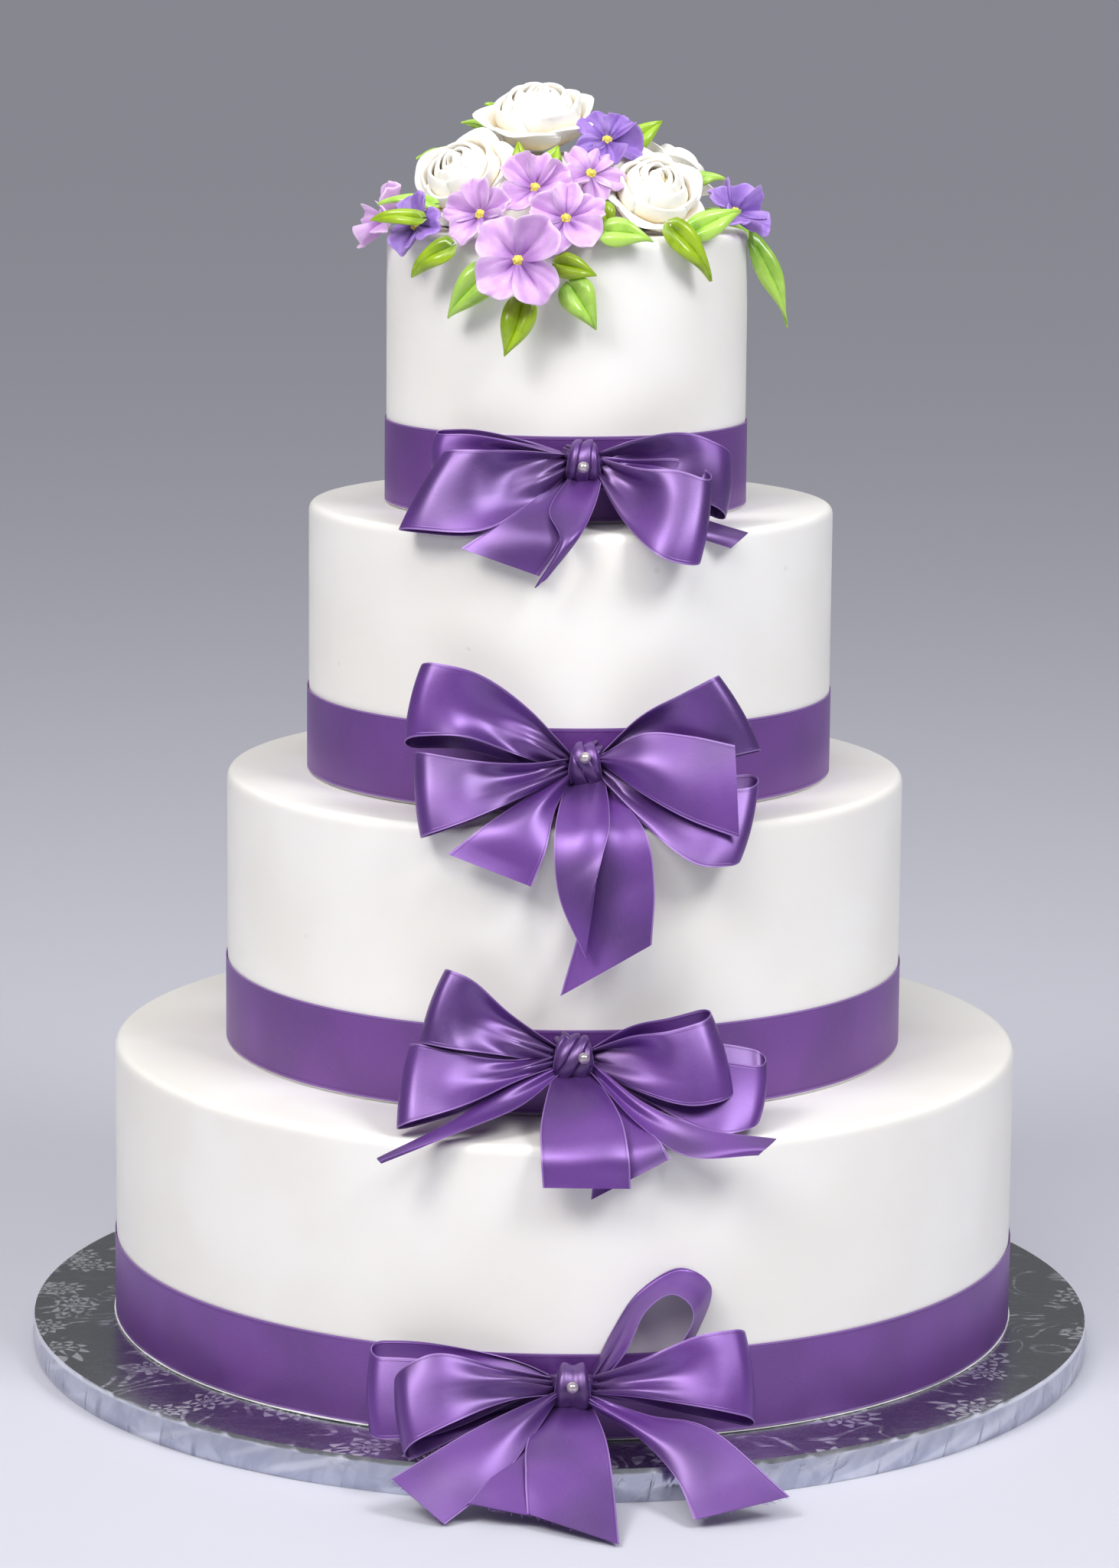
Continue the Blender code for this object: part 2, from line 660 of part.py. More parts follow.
def build_flower(name, middle, facing, size, spin, petals, collection, look):
    """A thin cup of wavy petals round a small ball, lifted clear of the cake's edge."""
    frame = facing_frame(middle, facing)
    radius = size * MM
    steps = petals * round(FLOWER_STEPS / petals)
    rows = []
    for reach, cup in ((FLOWER_CENTRE / radius, 0.0), *FLOWER_RINGS):
        row = []
        for step in range(steps):
            angle = 2 * math.pi * step / steps
            full = lobe(angle, petals)
            out = radius * reach * (1 - FLOWER_NOTCH * reach * (1 - full))
            wave = FLOWER_WAVE * reach ** 2 * math.sin(angle * petals)
            spun = angle + math.radians(spin)
            row.append(Vector((out * math.cos(spun), out * math.sin(spun), radius * (cup * full + wave))))
        rows.append(row)
    rows = brought_forward(rows, frame, PETAL_CLEARANCE)
    crown = frame @ Vector((0, 0, FLOWER_CENTRE))
    points = [crown, *(point for row in rows for point in row)]
    faces = []
    for step in range(steps):
        after = (step + 1) % steps
        faces.append((0, 1 + step, 1 + after))
        for ring in range(len(rows) - 1):
            a = 1 + ring * steps
            b = a + steps
            faces.append((a + step, b + step, b + after))
            faces.append((a + step, b + after, a + after))
    mesh = bpy.data.meshes.new(name)
    mesh.from_pydata([tuple(point) for point in points], [], faces)
    flower = add_object(name, mesh, collection, look)
    thicken(flower, FLOWER_THICK)


def thicken(item, thick):
    solidify = item.modifiers.new("thickness", "SOLIDIFY")
    solidify.thickness = thick
    solidify.offset = 0
    item.data = applied_mesh(item)
    item.modifiers.clear()
    smooth(item.data, 50)


def build_leaf(name, root, tip, width, facing, collection):
    """A thin wavy leaf from its root to its point, raised at both sides of the mid vein."""
    along = Vector(tip) * MM - Vector(root) * MM
    out = facing_vector(facing)
    across = along.cross(out).normalized()
    out = across.cross(along).normalized()
    frame = Matrix((across, along.normalized(), out)).transposed().to_4x4()
    frame.translation = top_point(root)
    length = along.length
    rows = []
    for step in range(LEAF_ROWS + 1):
        part = step / LEAF_ROWS
        full = math.sin(math.pi * part)
        half = width / 2 * MM * (0.35 + 0.8 * math.sin(math.pi * part ** 0.7) ** 0.7)
        half = max(half * (1 - part ** 3), LEAF_POINT)
        row = []
        for side in (-1, 0, 1):
            raised = (length * LEAF_ARCH + LEAF_FURROW * abs(side)) * full
            row.append(Vector((half * side, length * part, raised)))
        rows.append(row)
    rows = brought_forward(rows, frame, PETAL_CLEARANCE)
    leaf = strip_object(name, rows, collection, LEAF_CREAM)
    thicken(leaf, LEAF_THICK)


def build_mound(collection, flowers):
    """The icing that the flowers are set on: a dome, drawn in until it clears each one of them."""
    middle = top_point(MOUND_CENTRE) + Vector((0, 0, GAP))
    width, depth, height = MOUND_SIZE
    rings = []
    for ring in range(MOUND_RINGS):
        tilt = MOUND_TOP_RING * (1 - ring / (MOUND_RINGS - 1))
        row = []
        for step in range(MOUND_SPOKES):
            angle = 2 * math.pi * step / MOUND_SPOKES
            row.append(middle + Vector((width * math.cos(angle) * math.cos(tilt),
                                        depth * math.sin(angle) * math.cos(tilt),
                                        height * math.sin(tilt))))
        rings.append(row)
    top = middle + Vector((0, 0, height))
    mound = closed_rings("mound", top, rings, middle, collection, WHITE_ICING)
    flower_trees = [surface_tree(flower.data) for flower in flowers]
    moved = set()
    touching = True
    while touching:
        mound_tree = surface_tree(mound.data)
        touching = set()
        for tree in flower_trees:
            for face, _ in mound_tree.overlap(tree):
                touching.update(mound.data.polygons[face].vertices)
        for index in touching:
            draw_in(mound.data.vertices[index], middle)
        moved |= touching
    for index in moved:
        draw_in(mound.data.vertices[index], middle)


def draw_in(vertex, middle):
    vertex.co = middle + (vertex.co - middle) * MOUND_SHRINK


def surface_tree(mesh):
    shape = bmesh.new()
    shape.from_mesh(mesh)
    tree = BVHTree.FromBMesh(shape)
    shape.free()
    return tree


def build_flowers(collection):
    for name, middle, facing, size in ROSES:
        build_rose(name, middle, facing, size, collection)
    for name, middle, facing, size, spin, petals in FLOWERS:
        look = LILAC_CREAM if name.startswith("lilac") else VIOLET_CREAM
        build_flower(name, middle, facing, size, spin, petals, collection, look)
    for name, root, tip, width, facing in LEAVES:
        build_leaf(name, root, tip, width, facing, collection)
    kinds = ("rose", "lilac", "violet", "leaf")
    build_mound(collection, [item for item in collection.objects if item.name.startswith(kinds)])


def main():
    clear_scene()
    cake = new_collection("wedding cake")
    build_board(cake)
    build_tiers(cake)
    build_bands(cake)
    for tier in range(len(TIERS)):
        build_bow(tier, cake)
    build_flowers(cake)


main()
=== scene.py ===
import math
import bpy
import numpy as np
from mathutils import Matrix, Vector


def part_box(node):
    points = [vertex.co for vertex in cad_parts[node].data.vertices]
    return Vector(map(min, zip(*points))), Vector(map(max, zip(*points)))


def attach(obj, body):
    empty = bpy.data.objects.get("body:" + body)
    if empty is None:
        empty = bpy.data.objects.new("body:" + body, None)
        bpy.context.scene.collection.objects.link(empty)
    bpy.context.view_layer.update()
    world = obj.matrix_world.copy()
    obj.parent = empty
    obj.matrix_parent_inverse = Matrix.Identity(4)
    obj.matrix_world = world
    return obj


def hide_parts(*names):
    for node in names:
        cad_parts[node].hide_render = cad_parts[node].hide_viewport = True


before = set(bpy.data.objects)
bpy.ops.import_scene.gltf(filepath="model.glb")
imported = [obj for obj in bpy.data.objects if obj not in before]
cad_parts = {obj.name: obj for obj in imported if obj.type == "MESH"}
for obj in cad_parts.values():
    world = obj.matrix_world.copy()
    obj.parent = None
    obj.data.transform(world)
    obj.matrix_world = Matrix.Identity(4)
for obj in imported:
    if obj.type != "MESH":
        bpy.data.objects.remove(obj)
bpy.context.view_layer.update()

MM = 0.001
TIERS = range(1, 5)

# The camera that took the photograph, fitted to the edges of the tiers, ribbons and board.
CAMERA_PLACE = (-0.00238, -2.19872, 0.67587)
CAMERA_PITCH = math.radians(10.483)
CAMERA_ROLL = math.radians(0.5149)
CAMERA_LENS = 108.37
CAMERA_FILM = 36

# The icing of a tier: how far it is rounded at its top edge, and how unevenly it is spread.
TIER_STEPS = 288
TIER_EDGE = 4.5 * MM
TIER_UNEVEN = 0.22 * MM

# The board: its size, and the creases in the foil round its edge.
BOARD_RADIUS = 254 * MM
BOARD_STEPS = 900
BOARD_EDGE_ROWS = 12
BOARD_CREASES = 58
CREASE_DEPTH = 0.45 * MM
BEAD_STEPS = 720
BEAD_SIZE = 0.5 * MM

# The satin, and how a strip is pleated at its knot and folded further out, in millimetres.
RIBBON_WIDTH = 38.1 * MM
SATIN_THICK = 0.45 * MM
BAND_STEPS = 360
BAND_ROWS = 7
CAKE_CLEARANCE = 1.0 * MM
KNOT_CENTRE_OUT = 9.9 * MM - 0.9 * MM
KNOT_HOLD = 0.4
LOOP_START = (5, 3)
LOOP_PLUMP = 0.1
LOOP_BELLY = 0.25
END_SWELL = 1.5
TAIL_BELLY = 2.0
PLEAT_DEPTH = 2.6
LOOP_PLEATS = 2.4
TAIL_PLEATS = 2.1
FOLD_DEPTH = 2.0
TAIL_SHARE = 0.6
KNOT_RELIEF = 0.17
KNOT_FLARE = 0.14
KNOT_GRID = (88, 50)
STRAND_GRID = (80, 28)
LEG_ROWS = 34
END_ROWS = 13
TAIL_ROWS = 58
SATIN_COLUMNS = 30
PEARL_RADIUS = 2.6
PEARL_OUT = 10.9
FRAY_COUNT = 34
FRAY_THICK = 0.06 * MM
FRAY_LENGTH = (0.4, 2.2)

# Petals and leaves: rows and columns of points, and how far they stay clear of the icing.
ROSE_GRID = (18, 25)
FLOWER_GRID = (22, 27)
FLOWER_ROOT = 0.05
FLOWER_CLEARANCE = 0.8 * MM
LEAF_GRID = (36, 27)
LEAF_CLEARANCE = 0.9 * MM
FLOOR_REACH = 120

# Each bow, bottom first: knot across, knot above the tier's foot, how many degrees it leans back,
# and its pearl, right and up in millimetres.
BOWS = (
    (5.6 * MM, 27.5 * MM, 18.4, (0, -0.5)),
    (5.0 * MM, 29.0 * MM, 14.6, (4.5, -0.5)),
    (8.8 * MM, 24.5 * MM, 10.8, (0, 3.0)),
    (7.0 * MM, 29.0 * MM, 7.3, (0, -2.5)),
)

# The strips of satin in each bow, laid out in millimetres from the knot: right, up, out.
# A loop has how fat its end is, how far up it opens, how deep its front is dished and how far
# along, and its upper and lower edges out to the fold. A tail has its dish and its two edges out
# to the cut end.
LOOPS = (
    (
        (13, -0.7, 3.0, 0.45,
         ((-26, 9, 1), (-62, 15, 2), (-88, 16, -2)),
         ((-24, -5, 3), (-58, -17, 6), (-88, -20, 2))),
        (16, 0.5, 3.0, 0.5,
         ((-30, 6, 9), (-58, 10, 14), (-77, 2, 12)),
         ((-26, -8, 12), (-50, -19, 20), (-72, -30, 22))),
        (14, 0.3, 3.0, 0.5,
         ((30, 10, 11), (54, 20, 12), (75, 24, 4)),
         ((30, -6, 12), (58, -11, 16), (79, -15, 8))),
    ),
    (
        (15, 0.1, 7.5, 0.5,
         ((-28, 18, 7), (-44, 32, 10), (-57, 38, 8)),
         ((-30, 0, 9), (-52, 2, 12), (-68, 5, 8))),
        (15, 0.15, 6.5, 0.5,
         ((-26, -2, 6), (-50, 0, 9), (-72, 5, 6)),
         ((-24, -11, 12), (-48, -23, 20), (-77, -32, 22))),
        (16, -0.4, 6.0, 0.36,
         ((24, 12, 8), (42, 15, 14), (60, 20, 12)),
         ((28, -13, 13), (50, -18, 18), (70, -15, 13))),
        (15, -0.6, 2.5, 0.5,
         ((30, -2, 1), (60, 3, 0), (85, 0, -3)),
         ((32, -17, 8), (60, -29, 18), (82, -26, 9))),
    ),
    (
        (16, 0.35, 10.5, 0.52,
         ((-26, 23, 8), (-48, 37, 10), (-73, 43, 6)),
         ((-30, 3, 9), (-54, 9, 12), (-80, 9, 7))),
        (15, 0.05, 5.5, 0.5,
         ((-26, 0, 8), (-50, 1, 11), (-75, 5, 8)),
         ((-26, -14, 13), (-50, -25, 21), (-72, -33, 19))),
        (14, 0.05, 7.0, 0.45,
         ((24, 21, 6), (42, 31, 8), (59, 40, 8)),
         ((28, 2, 2), (54, 2, 4), (78, 7, 3))),
        (14, -0.5, 5.0, 0.45,
         ((28, -6, 6), (54, -8, 10), (77, -6, 6)),
         ((26, -24, 13), (48, -40, 23), (69, -41, 17))),
    ),
    (
        (12, -0.2, 2.5, 0.5,
         ((-26, 9, -1), (-48, 13, -4), (-66, 13, -10)),
         ((-28, -3, 0), (-50, -5, -4), (-68, -4, -10))),
        (15, 0.1, 9.0, 0.5,
         ((-26, 4, 8), (-44, 4, 10), (-62, 4, 6)),
         ((-22, -19, 12), (-46, -32, 20), (-82, -31, 12))),
        (14, 0.35, 4.0, 0.45,
         ((24, 8, 2), (46, 11, 2), (66, 4, -5)),
         ((26, -8, 1), (48, -17, 2), (64, -24, -2))),
        (16, -0.35, 6.5, 0.36,
         ((24, 0, 9), (42, -1, 15), (57, -6, 15)),
         ((18, -24, 14), (34, -39, 30), (52, -44, 28))),
    ),
)
TAILS = (
    (
        (-1.5,
         ((-9, -3, 6), (-27, -11, 18), (-48, -22, 28), (-77, -40, 36)),
         ((-7, -6, 6), (-16, -20, 21), (-32, -41, 35), (-54, -59, 45))),
        (0.5,
         ((-8, -8, 0), (-22, -22, 18), (-34, -38, 34), (-44, -50, 42)),
         ((-3, -9, 0), (-14, -22, 18), (-18, -38, 34), (-17, -55, 46))),
        (-1.0,
         ((-9, -9, 2), (-19, -23, 24), (-20, -38, 36), (-19, -54, 46)),
         ((9, -9, 2), (15, -24, 24), (18, -44, 40), (20, -66, 67))),
        (0.0,
         ((8, 6, -4), (17, 24, -6), (28, 41, -6), (46, 52, -6), (60, 45, -6), (57, 30, -6), (46, 14, -5),
          (18, 3, -4)),
         ((10, 0, 4), (23, 15, 12), (31, 32, 16), (42, 40, 17), (51, 35, 17), (51, 26, 16), (39, 11, 12),
          (12, -1, 4))),
        (-2.5,
         ((9, -4, 4), (33, -12, 14), (60, -18, 24), (93, -46, 35)),
         ((8, -8, 4), (29, -22, 20), (44, -38, 33), (52, -56, 45))),
    ),
    (
        (0.5,
         ((-7, -4, 2), (-30, -13, 14), (-54, -29, 28), (-85, -45, 42)),
         ((-5, -6, 2), (-22, -21, 20), (-44, -31, 34), (-83, -47, 43))),
        (-1.5,
         ((-9, -8, 2), (-14, -28, 30), (-14, -43, 43), (-13, -57, 43)),
         ((9, -8, 2), (20, -25, 30), (24, -42, 43), (25, -57, 43))),
        (0.5,
         ((3, -8, -2), (8, -28, 22), (9, -46, 36), (8, -62, 37)),
         ((8, -8, -2), (26, -26, 22), (37, -36, 36), (42, -44, 38))),
        (1.5,
         ((9, -3, 5), (31, -20, 22), (58, -31, 36), (88, -35, 40)),
         ((8, -7, 5), (28, -29, 28), (50, -43, 42), (80, -42, 43))),
    ),
    (
        (-3.0,
         ((-8, -4, 2), (-24, -14, 14), (-42, -26, 23), (-60, -40, 24)),
         ((-6, -7, 2), (-13, -20, 18), (-17, -38, 28), (-23, -54, 29))),
        (-1.0,
         ((-8, -8, 1), (-13, -30, 27), (-11, -58, 32), (1, -85, 33)),
         ((9, -8, 4), (11, -26, 26), (8, -40, 34), (5, -52, 36))),
        (-1.0,
         ((2, -8, -3), (4, -30, 21), (0, -64, 24), (-10, -102, 25)),
         ((8, -8, -3), (26, -28, 21), (31, -52, 25), (30, -79, 26))),
        (-1.5,
         ((8, 5, 4), (26, 14, 13), (46, 13, 17), (66, 9, 19)),
         ((8, 0, 4), (26, -13, 17), (46, -24, 26), (68, -32, 27))),
    ),
    (
        (1.0,
         ((-8, -5, 0), (-22, -17, 14), (-36, -27, 24), (-54, -39, 24)),
         ((-1, -8, 0), (-6, -22, 16), (-10, -37, 28), (-19, -51, 30))),
        (-1.0,
         ((-7, -8, 3), (-15, -22, 20), (-10, -36, 35), (-21, -56, 34)),
         ((8, -7, 2), (5, -20, 18), (-2, -34, 34), (-16, -52, 36))),
        (0.5,
         ((6, -6, -4), (30, -16, -1), (54, -25, 2), (74, -31, 4)),
         ((4, -9, -4), (28, -22, 2), (48, -32, 10), (66, -38, 12))),
    ),
)
# How each knot is wrapped: half width, half height and half depth, the slant and number of its
# folds, the share of it with rolled edges, and the turn in degrees of the strand that crosses it.
KNOTS = (
    (7.4, 10.2, 8.4, 0.12, 1.6, 0.9, 84),
    (8.4, 10.0, 8.4, -0.75, 2.7, 0.0, 40),
    (6.8, 9.8, 8.4, 0.62, 2.2, 0.15, -38),
    (7.0, 9.6, 8.4, -0.30, 2.4, 0.2, 66),
)

# Roses: middle in millimetres across, back and above the top of the cake, the azimuth and elevation
# that it faces, radius and turn.
ROSES = (
    ("rose_top", (-14, 0, 50), (262, 70), 26, 20),
    ("rose_left", (-48, -26, 24), (236, 42), 24.0, 75),
    ("rose_right", (39, -34, 18), (294, 46), 23.5, 150),
    ("rose_back", (50, 15, 25), (30, 50), 18.0, 0),
)
# The rings of petals of a rose of radius one: petals, base radius and height, rim radius and
# height, half the arc of a petal in degrees, bulge and outward curl.
ROSE_RINGS = (
    (1, 0.08, 0.05, 0.06, 0.60, 170, 0.05, 0.00),
    (2, 0.20, 0.00, 0.15, 0.60, 116, 0.09, 0.00),
    (3, 0.34, -0.06, 0.27, 0.58, 92, 0.13, 0.00),
    (3, 0.46, -0.14, 0.42, 0.53, 88, 0.15, 0.02),
    (4, 0.52, -0.22, 0.62, 0.40, 66, 0.15, 0.07),
    (5, 0.50, -0.32, 0.84, 0.19, 52, 0.13, 0.14),
)
# Flowers: middle, facing, radius, spin and number of petals.
FLOWERS = (
    ("lilac_flower_1", (-22, -97, -8), (268, 8), 21.5, 0, 4),
    ("lilac_flower_2", (-15, -54, 21), (268, 32), 17, 40, 5),
    ("lilac_flower_3", (10, -43.5, 27), (286, 34), 15, 16, 5),
    ("lilac_flower_4", (-1, -78, 9), (278, 28), 18, 56, 5),
    ("lilac_flower_5", (-39, -70, 10), (250, 28), 17, 60, 5),
    ("lilac_flower_6", (-84, -14, 4), (186, 25), 17, 30, 5),
    ("violet_flower_1", (17.5, -23, 41), (282, 42), 16.5, 15, 5),
    ("violet_flower_2", (-68, -58, 4), (222, 25), 14.5, 50, 4),
    ("violet_flower_3", (76, -24, 9), (335, 40), 17, 25, 5),
    ("violet_flower_4", (42, 46, 12), (50, 35), 17, 0, 5),
    ("violet_flower_5", (-62, 26, 12), (155, 35), 17, 25, 5),
    ("lilac_flower_7", (-32, 48, 18), (120, 40), 17, 0, 5),
    ("lilac_flower_8", (4, 54, 16), (85, 40), 17, 35, 5),
)
# Leaves: root and tip in millimetres from the middle of the cake's top, width, facing, and how
# yellow the green is from 0 to 1.
LEAVES = (
    ("leaf_1", (-20, -92, -28), (-26, -94, -51), 16, (270, 0), 0.9),
    ("leaf_2", (-36, -84, -15), (-54, -77, -35), 17, (250, 10), 0.2),
    ("leaf_3", (2, -91, -20), (14, -91, -38), 16, (275, 0), 0.1),
    ("leaf_4", (-4, -90, -10), (13, -90, -14), 12, (275, 15), 0.8),
    ("leaf_5", (17, -84, 4), (38, -83, 0), 15, (280, 40), 0.15),
    ("leaf_6", (47, -72, 5), (65, -67, -18), 14, (300, 15), 1.0),
    ("leaf_7", (57, -60, 3), (79, -50, 10), 14, (315, 40), 0.3),
    ("leaf_8", (86, -12, -6), (101, -6, -44), 12, (310, 5), 0.1),
    ("leaf_9", (-53, -77, -4), (-70, -68, -17), 14, (235, 30), 0.8),
    ("leaf_10", (-62, -44, 13), (-86, -42, 13), 9, (240, 60), 0.2),
    ("leaf_11", (-67, -66, 8), (-89, -58, 6), 9, (240, 40), 0.8),
    ("leaf_12", (-50, 2, 34), (-70, 4, 31), 8, (180, 50), 0.3),
    ("leaf_13", (-36, 18, 42), (-50, 20, 47), 9, (150, 50), 0.3),
    ("leaf_14", (-26, 22, 48), (-39, 26, 55), 9, (120, 50), 0.6),
    ("leaf_15", (-21, -37, 29), (-23, -34, 41), 8, (260, 30), 0.7),
    ("leaf_16", (-10, -35, 27), (-4, -32, 39), 12, (280, 40), 0.6),
    ("leaf_17", (28, 2, 38), (44, 6, 48), 12, (300, 40), 0.6),
    ("leaf_18", (56, -14, 22), (72, -10, 24), 10, (330, 50), 0.3),
    ("leaf_19", (16, -66, 15), (17, -68, 4), 9, (280, 40), 0.9),
    ("leaf_20", (-18, 66, 6), (-30, 88, -6), 14, (110, 30), 0.3),
    ("leaf_21", (22, 66, 5), (28, 89, -10), 14, (75, 30), 0.8),
    ("leaf_22", (66, 34, 5), (86, 40, -8), 14, (30, 30), 0.2),
)


def shade(red, green, blue):
    """A colour given as it looks on a screen, from 0 to 255, as the light it reflects."""
    parts = [value / 255 for value in (red, green, blue)]
    return tuple(p / 12.92 if p <= 0.04045 else ((p + 0.055) / 1.055) ** 2.4 for p in parts)


class Wire:
    """A number on its way between a material's nodes: sums on it add Math nodes."""

    def __init__(self, finish, socket):
        self.finish = finish
        self.socket = socket

    def maths(self, operation, *values):
        return self.finish.node("ShaderNodeMath", {"operation": operation}, dict(enumerate(values)))

    def __add__(self, other):
        return self.maths("ADD", self, other)

    def __radd__(self, other):
        return self.maths("ADD", other, self)

    def __sub__(self, other):
        return self.maths("SUBTRACT", self, other)

    def __rsub__(self, other):
        return self.maths("SUBTRACT", other, self)

    def __mul__(self, other):
        return self.maths("MULTIPLY", self, other)

    def __rmul__(self, other):
        return self.maths("MULTIPLY", other, self)

    def __truediv__(self, other):
        return self.maths("DIVIDE", self, other)

    def __pow__(self, power):
        return self.maths("POWER", self, power)

    def __abs__(self):
        return self.maths("ABSOLUTE", self)

    def fraction(self):
        return self.maths("FRACT", self)

    def sine(self):
        return self.maths("SINE", self)

    def ramp(self, low, high):
        """From 0 at low to 1 at high, eased at both ends."""
        settings = {"interpolation_type": "SMOOTHSTEP"}
        return self.finish.node("ShaderNodeMapRange", settings, {0: self, 1: low, 2: high})


class Finish:
    """One material, made from a Principled shader and the nodes that feed it."""

    def __init__(self, name, **constants):
        self.material = bpy.data.materials.new(name)
        self.material.use_nodes = True
        self.tree = self.material.node_tree
        self.shader = self.tree.nodes["Principled BSDF"]
        self.set(**constants)

    def set(self, **values):
        """Set or link sockets of the shader, named with _ for a space."""
        for name, value in values.items():
            self.put(self.shader.inputs[name.replace("_", " ")], value)

    def put(self, socket, value):
        if isinstance(value, Wire):
            self.tree.links.new(value.socket, socket)
        elif isinstance(value, tuple) and len(value) == 3 and len(socket.default_value) == 4:
            socket.default_value = (*value, 1)
        else:
            socket.default_value = value

    def node(self, kind, settings=None, sockets=None, out=0):
        """Add a node: its settings first, then the values or links of its sockets."""
        node = self.tree.nodes.new(kind)
        for name, value in (settings or {}).items():
            setattr(node, name, value)
        for name, value in (sockets or {}).items():
            self.put(node.inputs[name], value)
        return Wire(self, node.outputs[out])

    def place(self):
        """The point in the room, in metres."""
        return self.node("ShaderNodeTexCoord", out="Object")

    def flat(self):
        """The point on the flat map: along in metres or from root to tip, and across from 0 to 1."""
        return self.split(self.node("ShaderNodeUVMap", {"uv_map": "flat"}))

    def split(self, vector):
        node = self.node("ShaderNodeSeparateXYZ", sockets={0: vector}).socket.node
        return [Wire(self, output) for output in node.outputs]

    def join(self, x, y, z=0.0):
        return self.node("ShaderNodeCombineXYZ", sockets={0: x, 1: y, 2: z})

    def scaled(self, vector, factors):
        return self.node("ShaderNodeVectorMath", {"operation": "MULTIPLY"}, {0: vector, 1: factors})

    def noise(self, where, scale, detail=2.0, roughness=0.5, twist=0.0, out=0):
        """Soft noise from about 0.3 to 0.7."""
        sockets = {"Vector": where, "Scale": scale, "Detail": detail,
                   "Roughness": roughness, "Distortion": twist}
        return self.node("ShaderNodeTexNoise", None, sockets, out)

    def cells(self, where, scale, feature="F1"):
        return self.node("ShaderNodeTexVoronoi", {"feature": feature}, {"Vector": where, "Scale": scale})

    def blend(self, factor, first, second):
        settings = {"data_type": "RGBA", "clamp_factor": True}
        return self.node("ShaderNodeMix", settings, {0: factor, 6: first, 7: second}, out=2)

    def bump(self, height, depth, strength=1.0, under=None):
        """A relief whose height runs from 0 to 1 over the depth in metres."""
        sockets = {"Height": height, "Distance": depth, "Strength": strength}
        if under is not None:
            sockets["Normal"] = under
        return self.node("ShaderNodeBump", sockets=sockets)


def icing_finish():
    """Icing smoothed by hand: faint level sweeps, a fine grain and a few small pits."""
    finish = Finish("smooth white icing", Subsurface_Weight=0.12, Subsurface_Radius=(0.012, 0.009, 0.006),
                    Subsurface_Scale=0.4, IOR=1.42, Specular_IOR_Level=0.45)
    place = finish.place()
    sweep = finish.noise(finish.scaled(place, (6, 6, 30)), 1.0, detail=3.0)
    grain = finish.noise(place, 900, detail=2.0)
    soft = finish.noise(place, 14, detail=2.0, roughness=0.4)
    pits = 1 - finish.cells(place, 55).ramp(0.03, 0.11)
    rare = finish.noise(place, 17, detail=0.0).ramp(0.62, 0.70)
    tone = finish.blend(soft.ramp(0.35, 0.65), shade(238, 235, 229), shade(243, 241, 237))
    finish.set(
        Base_Color=finish.blend(pits * rare * 0.35, tone, shade(216, 208, 196)),
        Roughness=0.34 + 0.16 * sweep.ramp(0.35, 0.7),
        Normal=finish.bump(grain, 0.05 * MM, 0.35, finish.bump(
            pits * rare, -0.25 * MM, 0.6, finish.bump(sweep + soft, 0.6 * MM, 0.35))),
    )
    return finish.material


def bead_finish():
    finish = Finish("icing bead", Subsurface_Weight=0.1, Roughness=0.4)
    grain = finish.noise(finish.place(), 350, detail=3.0)
    finish.set(
        Base_Color=finish.blend(grain.ramp(0.3, 0.7), shade(232, 230, 228), shade(250, 249, 247)),
        Normal=finish.bump(grain, 0.3 * MM, 0.5),
    )
    return finish.material


def satin_finish(name, light, dark, knot_shade=0.0):
    """Woven satin: fine floats along the ribbon, a stitched edge, and painted shade near the knot."""
    finish = Finish(name, Metallic=0.25, IOR=2.0, Specular_IOR_Level=0.8,
                    Specular_Tint=(*shade(222, 184, 250), 1), Coat_Weight=0.26, Coat_Roughness=0.34,
                    Sheen_Weight=0.03, Sheen_Roughness=0.4, Sheen_Tint=(*shade(190, 160, 226), 1))
    along, across, _ = finish.flat()
    millimetre = across * (RIBBON_WIDTH / MM)
    edge = abs(across - 0.5) * (RIBBON_WIDTH / MM)
    selvage = edge.ramp(18.2, 18.5)
    groove = edge.ramp(17.2, 17.5) * (1 - edge.ramp(17.8, 18.1))
    stitch = (along * (2 * math.pi / (0.62 * MM))).sine().ramp(-0.5, 0.5)
    floats = finish.noise(finish.join(along * 300, millimetre * 9), 1.0, detail=2.0, roughness=0.6)
    tone = finish.noise(finish.place(), 24, detail=1.0)
    # Painted shade: darker over the first few centimetres out from the knot, as much as the share asks.
    painted_knot_shade = (1 - along.ramp(6 * MM, 38 * MM)) * knot_shade
    body = finish.blend(painted_knot_shade, finish.blend(tone.ramp(0.34, 0.64), dark, light), shade(40, 18, 60))
    thready = finish.blend(floats.ramp(0.35, 0.65) * 0.12, body, shade(164, 124, 196))
    lined = finish.blend(groove * 0.30, thready, shade(84, 48, 116))
    finish.set(
        Base_Color=finish.blend(selvage * (0.25 + 0.35 * stitch), lined, shade(176, 142, 206)),
        Roughness=0.38 + 0.08 * floats + 0.10 * selvage,
        Normal=finish.bump(groove, -0.12 * MM, 0.6, finish.bump(floats, 0.03 * MM, 0.30)),
    )
    return finish.material


